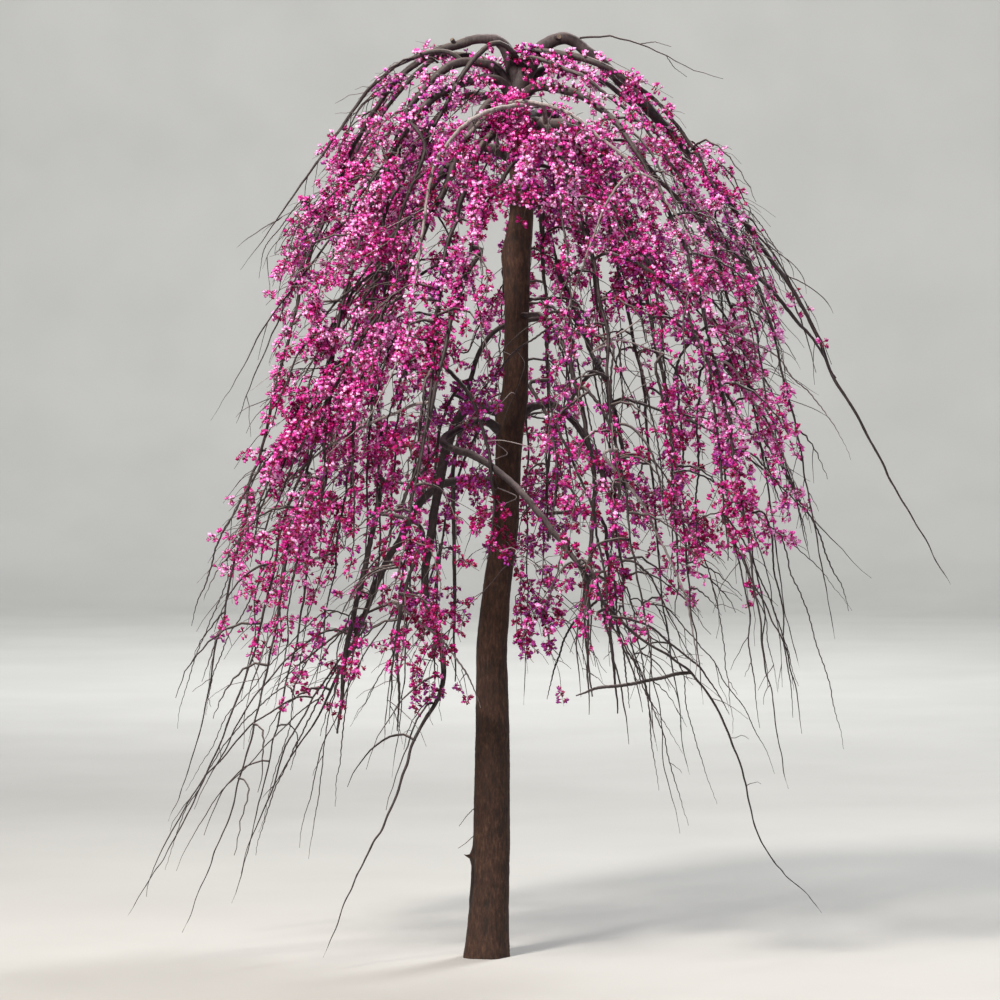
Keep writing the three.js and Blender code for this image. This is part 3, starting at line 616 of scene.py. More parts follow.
def keep_twigs(leader, leaders, candidates, wanted, margin, air, gap=0.0):
    """The first candidates whose points all fit the leader's space, with air round other limbs.

    The margin is how far they stay inside that space, or beyond it where it is below 0. The gap is
    half the width of the view of the trunk that they leave open.
    """
    points = np.concatenate([points[1:] for points, _ in candidates])
    fits = in_own_space(leader, leaders, points, margin)
    fits &= clear_of_limbs(leaders, points, air) & in_crown(points)
    if gap:
        fits &= clear_of_view(points, gap, HEAD_HEIGHT)
        fits &= crown_room(points) > -0.5 * TWIG_SPARE
    fits = fits.reshape(len(candidates), -1).all(1)
    kept = [candidate for candidate, fit in zip(candidates, fits) if fit]
    if gap:
        kept = [candidate for candidate in kept if candidate[0][0, 2] > LOWEST_TWIG_ROOT]
    return kept[:wanted]


def resampled(lines, count):
    return np.array([Line(p).at(np.linspace(0, Line(p).length, count)) for p in lines])


def through(points, count):
    """A smooth line through a few points, evenly divided."""
    p = np.vstack([2 * points[0] - points[1], points, 2 * points[-1] - points[-2]])
    t = np.arange(8)[:, None] / 8
    parts = [
        b + 0.5 * t * (c - a + t * (2 * a - 5 * b + 4 * c - d + t * (3 * b - a - 3 * c + d)))
        for a, b, c, d in zip(p, p[1:], p[2:], p[3:])
    ]
    return resampled([np.vstack([*parts, points[-1:]])], count)[0]


def rooted(points, base, wood, girths):
    """Carries a limb's root back to the nearest wood, best above it and stout enough to bear it."""
    away = points[0] - wood
    gap = np.maximum(np.linalg.norm(away, axis=1) - girths, 0)
    along = unit(points[1] - points[0])
    lean = (away @ along) / np.maximum(np.linalg.norm(away, axis=1), 1)
    slender, below = np.maximum(0.9 * base - girths, 0), np.maximum(away[:, 2], 0)
    best = wood[np.argmin(gap * (1.6 - 0.6 * lean) + 12 * slender + 0.8 * below)]
    gap = np.linalg.norm(points[0] - best)
    if gap < 25:
        return np.vstack([best, points[1:]])
    t = np.array([0, 0.2, 0.45, 0.72])[:, None]
    up = best + 0.4 * (points[0] - best) + [0, 0, 0.12 * gap]
    return np.vstack([cubic(best, up, points[0] - 0.4 * gap * along, points[0], t), points])


def fan_limbs(rng):
    """The lesser limbs of every fan, as rows like those of the chosen limbs."""
    rows = []
    for count, first, last, scatter, reach, drop, depth, thick, bloom, painted_sunlight in FANS:
        for share in (np.arange(count) + 0.5) / count:
            x, z = mix(np.array(first), np.array(last), share) + rng.uniform(-scatter, scatter, 2)
            fall, near, size = rng.uniform(*drop), rng.uniform(*depth), rng.uniform(*thick)
            out, spread, hang = rng.uniform(*reach), rng.uniform(0.3, 0.6), rng.uniform(0.65, 0.95)
            sunlit = rng.random() < painted_sunlight
            rows.append((x, z, out, fall, spread, -0.25 * fall, hang, near, near - 20,
                         size, max(0.5 * size, 0.7), bloom, sunlit))
    return rows


def fellow(points, limb):
    """A limb's fellow on the crown's far side, set out as far as the outline is wide there."""
    left, right = (np.interp(limb.z, CROWN[:, 0], CROWN[:, k]) for k in (1, 2))
    aside = points[:, 0] - CROWN_X
    ratio = left / right if aside[-1] > 0 else right / left
    behind = np.stack([CROWN_X - aside * ratio, -points[:, 1], points[:, 2]], -1)
    return behind, SimpleNamespace(**{**vars(limb), "sunlit": 0})


def face_limbs(count, leaders):
    """The limbs on the crown's face and, for those well forward, their fellows on its far side."""
    heights = np.arange(600, TRUNK_TOP, 15)
    axis, girth = trunk_at(heights)
    wood, girths = [axis], [girth]
    for leader in leaders:
        wood.append(leader.fine.points)
        girths.append(leader_radius(leader, leader.fine.lengths) * thinning(leader, leader.fine.lengths))
    t = np.linspace(0, 1, 16)
    found = []
    for index, row in enumerate(LIMBS + fan_limbs(np.random.default_rng(23))):
        limb = SimpleNamespace(**dict(zip(LIMB_FIELDS, row)))
        points = np.stack([
            limb.x + limb.reach * cubic(0, limb.spread, limb.hang, 1, t),
            mix(limb.near, limb.far, t**0.7),
            limb.z + cubic(0, limb.lift, -0.6 * limb.drop, -limb.drop, t),
        ], -1)
        sway = min(11, 0.05 * abs(limb.drop) + 5) * np.sin(np.pi * t)[:, None]
        points += sway * noise_vectors(points / 95 + index, 81)
        found.append((points, limb))
        if limb.near + limb.far < FELLOW_DEPTH and limb.bloom > 0.1:
            found.append(fellow(points, limb))
    found.sort(key=lambda pair: -pair[0][0, 2] - 60 * pair[1].thick)
    lines = []
    for points, limb in found:
        joined = rooted(points, limb.thick, np.concatenate(wood), np.concatenate(girths))
        lines.append(through(joined, count))
        wood.append(lines[-1][2:-6])
        girths.append(np.linspace(limb.thick, limb.tip, count)[2:-6])
    return np.array(lines), [limb for _, limb in found]


def zigzag(lines, amount, rng):
    """Sets each inner point aside, alternately, as redbud twigs do at their buds."""
    tangents = unit(np.gradient(lines, axis=1))
    across = unit(np.cross(tangents, unit(rng.normal(size=(len(lines), 1, 3)))))
    signs = np.where(np.arange(lines.shape[1]) % 2, 1.0, -1.0)
    signs[[0, -1]] = 0
    step = np.linalg.norm(np.diff(lines, axis=1), axis=2).mean(1)
    return lines + across * signs[None, :, None] * np.minimum(amount, 0.11 * step)[:, None, None]


def side_shoots(starts, tangents, lengths, steps, rng):
    """Short shoots that leave their parents at an angle and droop a little."""
    around = unit(np.cross(tangents, unit(rng.normal(size=tangents.shape) + [0, 0, 0.3])))
    angle = np.radians(rng.uniform(30, 75, len(starts)))[:, None]
    outward = unit((starts - trunk_at(np.clip(starts[:, 2], 0, TRUNK_TOP))[0]) * [1, 1, 0])
    heading = unit(tangents * np.cos(angle) + around * np.sin(angle) + 0.45 * outward)
    points = [starts]
    for _ in range(steps):
        points.append(points[-1] + heading * lengths[:, None] / steps)
        heading = unit(heading + 0.15 * DOWN + 0.09 * rng.normal(size=heading.shape))
    return np.stack(points, 1)


def grow_twigs(leaders, strands, extra_twigs):
    """Every leader's twigs and hanging strands: its leader, its line, and where on the stem it starts."""
    twigs, hangers = [], []
    for leader in leaders:
        same = [candidate_twig(leader, n) for n in range(leader.twigs * TWIG_TRIES)]
        kept = keep_twigs(leader, leaders, same, leader.twigs, SPACE_MARGIN, 5.0)
        share = max(leader.reach, 0.6)
        more = [candidate_twig(leader, 400 + n, sideways(leader)) for n in range(4 * extra_twigs)]
        kept += keep_twigs(leader, leaders, more, round(extra_twigs * share), -45.0, 5.0, 60.0)
        if leader.bloom < WHIP_BLOOM:
            kept = [twig for twig in kept if twig[1] < WHIP_TWIGS]
        twigs += [(leader, *twig) for twig in kept]
        long = [hanging_strand(leader, n) for n in range(4 * strands)]
        wanted = round(strands * share) if leader.root > HIGH_ROOT else 1
        hangers += [(leader, *s) for s in keep_twigs(leader, leaders, long, wanted, -70.0, 8.0, 70.0)]
    return twigs, hangers


def root_radii(rows, share, most):
    """The radius that each twig or strand starts with: a share of its leader's there, up to a limit."""
    radii = [share * leader_radius(leader, leader.wood + at * leader.stem.length) for leader, _, at in rows]
    return np.minimum(radii, most)


def grow_shoots(grown, spacing, rng):
    """Side shoots along all finer wood, fewer low down and where blossom is thin."""
    starts, tangents, lengths = [], [], []

    def bud(line, first, gap, shortest, longest, shrink=0.5):
        at = np.arange(first, 0.95 * line.length, gap) + rng.uniform(-14, 14)
        at = at[(at > 20) & (at < 0.95 * line.length)]
        here = line.at(at)
        chance = np.interp(here[:, 2], [420, 640, 900, 1150], [0.03, 0.1, 0.5, 1])
        keep = rng.random(len(at)) < chance * (0.35 + 0.65 * richness(here))
        starts.append(here[keep])
        tangents.append(line.tangent_at(at[keep]))
        lengths.append(rng.uniform(shortest, longest, keep.sum()) * (1.1 - shrink * at[keep] / line.length))

    for points in grown.twigs:
        bud(Line(points), 40, spacing, 45, 150)
    for points in (*grown.strands, *grown.limbs):
        bud(Line(points), 60, spacing, 45, 190)
    for leader in grown.leaders:
        bud(leader.fine, 0.6 * leader.wood, 0.62 * spacing, 30, 190 * max(leader.reach, 0.6), 0.2)
    shoots = side_shoots(*map(np.concatenate, (starts, tangents, lengths)), 4, rng)
    tips = shoots[:, 2:].reshape(-1, 3)
    inside = clear_of_limbs(grown.leaders, tips, 3.0) & clear_of_view(tips, 50.0, HEAD_HEIGHT)
    inside &= in_crown(tips)
    return zigzag(shoots[inside.reshape(len(shoots), -1).all(1)], 1.6, rng)


GROWN = {}  # the growth for each choice of settings, worked out once


def grow(strands, extra_twigs, shoot_spacing):
    """Everything that grows: leaders, strands, twigs and side shoots, before the crown wanders."""
    key = (strands, extra_twigs, round(shoot_spacing, 3))
    if key in GROWN:
        return GROWN[key]
    rng = np.random.default_rng(41)
    grown = SimpleNamespace(leaders=make_leaders())
    twigs, hangers = grow_twigs(grown.leaders, strands, extra_twigs)
    grown.twigs = zigzag(resampled([row[1] for row in twigs], 14), 2.0, rng)
    grown.twig_base = root_radii(twigs, 0.75, 4.0)
    grown.strands = zigzag(resampled([row[1] for row in hangers], 30), 2.4, rng)
    grown.strand_base = root_radii(hangers, 0.7, 4.6)
    lines, limbs = face_limbs(LIMB_RINGS, grown.leaders)
    grown.limbs = zigzag(lines, 0.9, rng)
    rows = np.array([[limb.thick, limb.tip, limb.bloom, limb.sunlit] for limb in limbs])
    thick, tip, grown.limb_bloom, grown.sunlit = rows.T
    grown.limb_radii = mix(thick[:, None], tip[:, None], np.linspace(0, 1, LIMB_RINGS) ** 0.8)
    grown.shoots = grow_shoots(grown, shoot_spacing, rng)
    GROWN[key] = grown
    return grown


# ---------------------------------------------------------------- meshes


def ring_frames(lines):
    """Two directions across each point of many lines, turned as little as can be along them."""
    tangents = unit(np.gradient(lines, axis=1))
    first = np.where(np.abs(tangents[:, :1, 2:]) > 0.9, [[[1.0, 0, 0]]], [[[0, 0, 1.0]]])[:, 0]
    normals = np.empty_like(lines)
    for i in range(lines.shape[1]):
        t = tangents[:, i]
        first = unit(first - t * (first * t).sum(1, keepdims=True))
        normals[:, i] = first
    return normals, np.cross(tangents, normals)


def ring_quads(starts, sides):
    """The faces between each ring of corners that begins at one of the starts and the ring after it."""
    side, after = np.arange(sides), (np.arange(sides) + 1) % sides
    corners = [starts + side, starts + after, starts + sides + after, starts + sides + side]
    return np.stack(corners, -1).reshape(-1, 4)


def fan_tris(start, sides, centre):
    """The triangles between the ring of corners that begins at start and a centre."""
    side = np.arange(sides)
    return np.stack([start + side, start + (side + 1) % sides, np.full(sides, centre)], -1)


def tubes(lines, radii, sides, relief=None):
    """Many tapering tubes with the same count of rings, open at both ends."""
    count, rings = lines.shape[:2]
    normals, across = ring_frames(lines)
    turn = 2 * np.pi * np.arange(sides) / sides
    out = normals[:, :, None] * np.cos(turn)[:, None] + across[:, :, None] * np.sin(turn)[:, None]
    verts = lines[:, :, None] + out * radii[:, :, None, None]
    if relief is not None:
        verts = relief(verts, out)
    starts = (np.arange(count * rings) * sides).reshape(count, rings)[:, :-1, None]
    return verts.reshape(-1, 3), ring_quads(starts, sides)


class Heap:
    """Collects parts of a joined mesh."""

    def __init__(self):
        self.verts, self.quads, self.tris, self.values, self.count = [], [], [], [], 0

    def add(self, verts, quads=None, tris=None, values=None):
        self.verts.append(verts)
        self.values.append(np.zeros(len(verts)) if values is None else values)
        if quads is not None:
            self.quads.append(quads + self.count)
        if tris is not None:
            self.tris.append(tris + self.count)
        self.count += len(verts)

    def object(self, name, material, smooth=True):
        """Makes the mesh in metres, with its relief values, and puts it into the scene."""
        if not self.quads and not self.tris:
            raise RuntimeError(f"{name} has no faces")
        verts = np.concatenate(self.verts) * MM
        quads = np.concatenate(self.quads) if self.quads else np.zeros((0, 4), int)
        tris = np.concatenate(self.tris) if self.tris else np.zeros((0, 3), int)
        corners = np.concatenate([quads.ravel(), tris.ravel()])
        starts = np.concatenate([4 * np.arange(len(quads)), quads.size + 3 * np.arange(len(tris))])
        mesh = bpy.data.meshes.new(name)
        mesh.vertices.add(len(verts))
        mesh.vertices.foreach_set("co", verts.astype(np.float32).ravel())
        mesh.loops.add(len(corners))
        mesh.loops.foreach_set("vertex_index", corners.astype(np.int32))
        mesh.polygons.add(len(starts))
        mesh.polygons.foreach_set("loop_start", starts.astype(np.int32))
        mesh.polygons.foreach_set("use_smooth", np.full(len(starts), smooth))
        mesh.update(calc_edges=True)
        relief = mesh.attributes.new("relief", "FLOAT", "POINT")
        relief.data.foreach_set("value", np.concatenate(self.values).astype(np.float32))
        mesh.materials.append(material)
        piece = bpy.data.objects.new(name, mesh)
        bpy.context.scene.collection.objects.link(piece)
        return piece


def settle(piece, replaced):
    """Fixes a piece to the tree, and hides the solids that it stands for."""
    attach(piece, "root")
    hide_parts(*replaced)


# ---------------------------------------------------------------- wood


def bark_relief(points, fissure, coarse):
    """Height of furrowed bark in millimetres: upright plates with flecks of lenticels."""
    stretched = points / np.array([coarse, coarse, coarse * PLATE_STRETCH])
    warp = 0.5 * noise_vectors(points / 30, 31)
    plates = 1 - np.abs(lattice_noise(stretched + warp, 3)) * 2
    fine = 1 - np.abs(lattice_noise(stretched * 2.3 + warp, 5)) * 2
    flecks = np.clip(lattice_noise(points / np.array(FLECK_SIZE), 7) - 0.35, 0, 1) * 1.6
    lumps = lattice_noise(points / 26, 9)
    return fissure * (0.55 * plates + 0.3 * fine) + 0.5 * flecks + 0.7 * lumps


def softened(values, weights):
    """A stepped profile rounded off by a weighted mean; its ends carry on as they came."""
    padded = np.pad(values, len(weights) // 2, mode="reflect", reflect_type="odd")
    return np.convolve(padded, weights / weights.sum(), "valid")


def trunk_swelling(heights, headings, radius, leaders):
    """How far the trunk stands out round its boughs and knots, and in where it is wounded."""
    total = np.zeros((len(heights), len(headings)))

    def swell(height, heading, high, wide, tall, sunk=0.0):
        offset = (headings - heading + 180) % 360 - 180
        across = np.radians(offset) * np.interp(height, heights, radius)
        upright = np.exp(-0.5 * ((heights - height + sunk) / tall)[:, None] ** 2)
        total[:] += high * upright * np.exp(-0.5 * (across / wide) ** 2)

    for leader in leaders:
        points, thick = leader.fine.points, leader.thick
        away = np.linalg.norm((points - trunk_at(points[:, 2])[0])[:, :2], axis=1)
        leave = int(np.argmax(away > np.interp(leader.root, heights, radius)))
        heading = leader.heading + 0.1 * leader.swing
        swell(points[leave, 2], heading, 0.42 * thick, 1.15 * thick, 1.35 * thick, COLLAR_SUNK)
    for height, heading, high, wide, tall in KNOTS:
        swell(height, heading, high, wide, tall)
    return total


def trunk_mesh(sides, step, fissure, leaders):
    """The trunk with its root flare, collars round the boughs, an old wound and furrowed bark."""
    heights = np.concatenate([[0], np.arange(2, TRUNK_TOP, step), [TRUNK_TOP]])
    weights = np.exp(-0.5 * (np.arange(-12, 13) * step / TRUNK_ROUNDING) ** 2)
    centre, radius = trunk_at(heights)
    centre[:, 0], radius = softened(centre[:, 0], weights), softened(radius, weights)
    turn = 2 * np.pi * np.arange(sides) / sides
    out = np.stack([np.cos(turn), np.sin(turn), np.zeros(sides)], -1)
    flared = np.cos(turn - math.radians(FLARE_HEADING))
    flare = FLARE_SPREAD * (0.6 + 0.4 * flared + 0.3 * np.cos(5 * turn))
    wide = radius[:, None] + flare * np.exp(-heights / FLARE_HEIGHT)[:, None]
    swell = trunk_swelling(heights, np.degrees(turn), radius, leaders)
    wide = np.minimum(wide + swell, wide + MOST_SWELLING)
    flat = (centre[:, None] + out * wide[..., None]).reshape(-1, 3)
    relief = bark_relief(flat, fissure, PLATE_WIDTH)
    outward = np.tile(out, (len(heights), 1))
    flat = flat + outward * (relief * np.clip(flat[:, 2] / 8, 0, 1) - 0.4)[:, None]
    axis = np.repeat(centre, sides, axis=0)
    cap = np.clip((TRUNK_TOP - flat[:, 2]) / TRUNK_CAP, 0.15, 1) ** 0.5
    flat = axis + (flat - axis) * cap[:, None]
    flat[:, 2] = np.repeat(heights, sides)
    last = (len(heights) - 1) * sides
    quads = ring_quads(np.arange(0, last, sides)[:, None], sides)
    foot, top = fan_tris(0, sides, len(flat)), fan_tris(last, sides, len(flat) + 1)
    # Relief values: low in the bark's furrows and wounds, where the bark's shader paints shade.
    values = np.append(relief + np.minimum(swell, 0).ravel(), [0, 0])
    verts = np.vstack([flat, centre[:1], centre[-1:] + [0, 0, 3]])
    return verts, quads, np.vstack([foot[:, ::-1], top]), values


def snag_mesh():
    """The broken side shoot low on the trunk, with the roughness of its bark."""
    foot = trunk_at(SNAG["height"])[0]
    shares = np.array([0, 0.62, 0.72, 0.8, 0.9, 1.0])
    way = direction(SNAG["heading"], SNAG["rise"] * shares)
    line = foot + way * SNAG["length"] * shares[:, None]
    line[3:, 2] += [0, 1, 3]
    verts, quads = tubes(line[None], np.array([[13, 10, 8, 5.5, 2.4, 0.4]]), 12)
    rough = 0.8 * lattice_noise(verts / 3.0, 71)
    return verts + rough[:, None], quads, None, rough


def bough_part(leader, start, end, step, sides, depth):
    """A stretch of a leader as a tube, with the flecks on its bark; beyond the bough it thins."""
    lengths = np.linspace(start, end, max(int((end - start) / step), 4) + 1)
    points = leader.fine.at(lengths)
    axis, girth = trunk_at(points[:, 2])
    outside = np.maximum(np.linalg.norm((points - axis)[:, :2], axis=1) - girth, 0)
    collar = 0.5 * leader.thick * np.exp(-outside / COLLAR_FADE) * (lengths < COLLAR_LENGTH)
    along = np.stack([lengths / 34, 0 * lengths, 0 * lengths + 9 * leader.index], -1)
    radii = (leader_radius(leader, lengths) + collar) * (1 + 0.05 * lattice_noise(along, 17))
    if start > 0:
        radii = radii * np.clip((end - lengths) / 40, 0.35, 1) * thinning(leader, lengths)

    def relief(verts, out):
        flat = verts.reshape(-1, 3)
        rough = lattice_noise(flat / 4.5, 13) * 0.45 + lattice_noise(flat[:, [2, 1, 0]] / 14, 15) * 0.9
        return (flat + out.reshape(-1, 3) * (rough * depth)[:, None]).reshape(verts.shape)

    verts, quads = tubes(wander(points[None]), radii[None], sides, relief)
    return verts, quads, None, lattice_noise(verts / 6, 19)


def stub(point, way, radius, length):
    """A pruned stub: a short limb with a rounded rim."""
    line = point + way * (length * np.array([0, 0.5, 0.86, 0.97, 1.0]))[:, None]
    radii = radius * np.array([1.35, 1.08, 1.02, 0.97, 0.86])
    return tubes(line[None], radii[None], STUB_SIDES)


def cut_face(rim, way):
    """The pale cut at the end of a stub, dished a little."""
    return np.vstack([rim, rim.mean(0) - way * 0.8]), None, fan_tris(0, len(rim), len(rim))


def taper(base, tip, count):
    """The radii of many limbs at evenly spaced points, from their own base to a tip."""
    return base[:, None] + (tip - base[:, None]) * np.linspace(0, 1, count) ** 0.9


# ---------------------------------------------------------------- blossom


def flower_shapes():
    """A pea flower on its stalk, facing +Y, in three parts, and a bud.

    The parts are the keel, the two wings with the banner, and the stalk with its calyx.
    """
    ring = np.array([[-1, 0, 0.6], [0, 0, -1.15], [1, 0, 0.6]])
    keel = np.vstack([ring * 1.9 + [0, 7.6, -0.2], ring * 3.3 + [0, 12.0, -0.8], [[0, 16.4, -1.6]]])
    side, after = np.arange(3), np.array([1, 2, 0])
    keel_tris = np.vstack([
        np.stack([side, side + 3, after + 3], -1), np.stack([side, after + 3, after], -1),
        np.stack([side + 3, side * 0 + 6, after + 3], -1),
    ])
    wing = np.array([[0.6, 8.2, 0.6], [4.6, 9.4, 0.8], [5.4, 12.8, 2.8], [2.2, 12.4, 4.0]])
    banner = np.array([[0, 8.4, 1.4], [3.4, 9.4, 4.4], [0, 10.2, 7.0], [-3.4, 9.4, 4.4]])
    petals = np.vstack([wing, wing * [-1, 1, 1], banner])
    petal_tris = np.vstack([np.array([[0, 1, 2], [0, 2, 3]]) + k for k in (0, 4, 8)])
    stalk = np.array([[0, 0, 0], [0, 9.2, -2.2], [2.0, 8.8, 1.2], [-2.0, 8.8, 1.2]])
    stalk_tris = np.array([[0, 1, 2], [0, 2, 3], [0, 3, 1]])
    bud = np.array([[0, 0, 0], [0, 6.4, -2.2], [2.0, 6.2, 1.2], [-2.0, 6.2, 1.2], [0, 11.4, -0.4]])
    bud_tris = np.array([[0, 1, 2], [0, 2, 3], [0, 3, 1], [1, 4, 2], [2, 4, 3], [3, 4, 1]])
    return (keel, keel_tris), (petals, petal_tris), (stalk, stalk_tris), (bud, bud_tris)


def placed(shape, roots, facing, spin, scale):
    """Copies of a small shape at many roots, facing given ways and spun about them."""
    verts, tris = shape
    side = unit(np.cross(facing, [0.0, 0.0, 1.0] + 0 * facing))
    up = np.cross(side, facing)
    c, s = np.cos(spin)[:, None], np.sin(spin)[:, None]
    right, top = side * c + up * s, up * c - side * s
    basis = np.stack([right, facing, top], 1) * scale[:, None, None]
    points = roots[:, None] + verts @ basis
    index = tris[None] + (np.arange(len(roots)) * len(verts))[:, None, None]
    return points.reshape(-1, 3), index.reshape(-1, 3)


def nodes_along(lines, radii, spacing, rng, first, last):
    """Bud positions along many lines, between two shares of their length: point, direction, radius."""
    points, tangents, girths = [], [], []
    for line_points, line_radii in zip(lines, radii):
        line = Line(line_points)
        at = np.arange(first * line.length + 6, last * line.length, spacing)
        at = at + rng.uniform(-0.3, 0.3, len(at)) * spacing
        points.append(line.at(at))
        tangents.append(line.tangent_at(at))
        girths.append(np.interp(at, line.lengths, line_radii))
    return tuple(map(np.concatenate, (points, tangents, girths)))


def bloom_share(points):
    """How likely blossom is at each height: full in the upper crown, thinning to bare whips."""
    right = np.clip((points[:, 0] - CROWN_X + 300) / 600, 0, 1)
    lowered = points[:, 2] - mix(0, 190, right)
    return np.interp(lowered, [560, 700, 820, 1000, 1300, 1600], [0.0, 0.14, 0.42, 0.7, 0.88, 1.0])


def before_sunlit(grown, points):
    """True for points in front of a stout sunlit limb, which nothing may shade; the paler ones carry
    painted sunlight.
    """
    before = np.zeros(len(points), bool)
    for line in grown.limbs[(grown.sunlit > 0) & (grown.limb_radii[:, 0] > STOUT)]:
        away = points[:, None] - line
        aside = np.hypot(away[..., 0], away[..., 2])
        nearest = (np.arange(len(points)), aside.argmin(1))
        before |= (aside[nearest] < 26) & (away[..., 1][nearest] < -6)
    return before


def blossom_nodes(grown, spacing, rng):
    """Every place where a cluster sits: its point, and the direction and radius of the wood there."""
    spots = []

    def gather(lines, radii, gap, first, last, share=1.0):
        points, tangents, girths = nodes_along(lines, radii, gap, rng, first, last)
        chance = np.full(len(points), SURE) if share == SURE else share * bloom_share(points)
        spots.append((points, tangents, girths, chance))

    bases = np.full(len(grown.shoots), 1.4)
    gather(grown.shoots, taper(bases, 0.6, grown.shoots.shape[1]), spacing, 0.08, 0.92)
    bases = 0.8 * grown.twig_base
    gather(grown.twigs, taper(bases, 0.9, grown.twigs.shape[1]), spacing, 0.05, 0.9)
    bases = 0.8 * grown.strand_base
    gather(grown.strands, taper(bases, 0.9, grown.strands.shape[1]), spacing, 0.04, 0.88)
    for line, radii, bloom in zip(grown.limbs, grown.limb_radii, grown.limb_bloom):
        share = SURE if bloom == 1 else 1.3 * bloom
        gather(line[None], radii[None], 0.8 * spacing, 0.04, 0.95, share)
    for leader in grown.leaders:
        first = max(200, 0.95 * leader.wood)
        if HIGH_ROOT < leader.root < BARE_BOUGH_ROOT and leader.name != "right_outer":
            first = 0.4 * leader.wood
        last = leader.wood + leader.stem.length * min(leader.bloom + 0.12, 0.93)
        at = np.arange(first, last, 20)
        gather(leader.fine.at(at)[None], leader_radius(leader, at)[None], 0.75 * spacing, 0.0, 1.0)
    points, tangents, girths, chance = map(np.concatenate, zip(*spots))
    clumps = 0.5 + 1.25 * lattice_noise(points / 88, 51) + 0.5 * lattice_noise(points / 240, 53)
    clumps = np.clip(clumps, 0.03, 1.1)
    sure = chance == SURE
    chance = np.where(sure, 1.0, 0.83 * chance * richness(points))
    clumps = np.where(sure, np.maximum(clumps, 0.5), clumps)
    keep = rng.random(len(points)) < chance * clumps
    keep &= sure | clear_of_view(points, 44.0, HEAD_HEIGHT + 20)
    keep &= (crown_room(points) > rng.uniform(-55, 5, len(points))) & ~before_sunlit(grown, points)
    return points[keep], tangents[keep], girths[keep]


def make_blossom(grown, spacing, flower_scale, rng):
    """Clusters of pea flowers and buds, as arrays with a value for each flower."""
    points, tangents, girths = blossom_nodes(grown, spacing, rng)
    points = wander(points)
    owner = np.repeat(np.arange(len(points)), rng.integers(4, 10, len(points)))
    count = len(owner)
    bloom = SimpleNamespace()
    along = tangents[owner]
    spoke = unit(np.cross(along, unit(rng.normal(size=(count, 3)))))
    bloom.facing = unit(spoke + 0.5 * along * rng.uniform(-1, 1, (count, 1)) + 0.2 * DOWN)
    shift = along * rng.uniform(-9, 9, (count, 1))
    bloom.roots = points[owner] + spoke * (girths[owner] * 0.8)[:, None] + shift
    bloom.scale = flower_scale * rng.uniform(0.8, 1.15, count)
    # Tone sets each flower's tint. It is lower deep inside the crown and low down, as painted shade, and
    # higher near its outside and top, as painted light, with random tone by patch and by flower.
    room = np.clip(crown_room(points) / 420, 0, 1)
    tone = 0.66 - 0.26 * room + 0.14 * (points[:, 2] - 1400) / 1000
    tone += 0.22 * lattice_noise(points / 130, 61)
    bloom.tone = tone[owner] + rng.uniform(-0.25, 0.25, count)
    # Flowers deep inside the crown count as shaded, and get the bluer orchid keels as painted shade.
    shaded = 0.5 * room + 0.5 * lattice_noise(points / 150, 67) + rng.uniform(-0.2, 0.2, len(points))
    bloom.shaded = shaded[owner]
    bloom.closed = rng.random(count) < CLOSED_SHARE
    bloom.spin = rng.uniform(-0.7, 0.7, count)
    bloom.wing_tone = bloom.tone - 0.08 + rng.uniform(-0.2, 0.2, count)
    return bloom


# ---------------------------------------------------------------- materials


def linear(hex_colour):
    """An sRGB hex value as the linear colour that a shader takes."""
    parts = [int(hex_colour.lstrip("#")[i:i + 2], 16) / 255 for i in (0, 2, 4)]
    return tuple(c / 12.92 if c <= 0.04045 else ((c + 0.055) / 1.055) ** 2.4 for c in parts)


def add_node(tree, kind, links=(), stops=(), **settings):
    """Adds a node with its settings, its links and, for a colour ramp, its stops.

    A setting in capitals goes to the input of that name, others to the node itself. A link is an
    input and the output that feeds it, or an input and its value where other inputs share its name.
    """
    node = tree.nodes.new(kind)
    for key, value in settings.items():
        if key[0].isupper():
            node.inputs[key.replace("_", " ")].default_value = value
        else:
            setattr(node, key, value)
    for socket, source in links:
        if isinstance(source, bpy.types.NodeSocket):
            tree.links.new(source, node.inputs[socket])
        else:
            node.inputs[socket].default_value = source
    for _ in stops[2:]:
        node.color_ramp.elements.new(0.5)
    for number, (position, colour) in enumerate(stops):
        node.color_ramp.elements[number].position = position
        node.color_ramp.elements[number].color = (*colour, 1.0)
    return node


def new_material(name, **shader):
    """A material with one shader, and its node tree and shader to build on."""
    material = bpy.data.materials.new(name)
    material.use_nodes = True
    tree = material.node_tree
    tree.nodes.clear()
    surface = add_node(tree, "ShaderNodeBsdfPrincipled", **shader)
    add_node(tree, "ShaderNodeOutputMaterial", [("Surface", surface.outputs[0])])
    return material, tree, surface


def finish_colours(name):
    """A finish's colours as its settings have them, from its deepest to its palest."""
    finish = bpy.context.scene.redbud_finish
    return [tuple(getattr(finish, f"{name}_{number}")) for number in range(len(COLOURS[name]))]


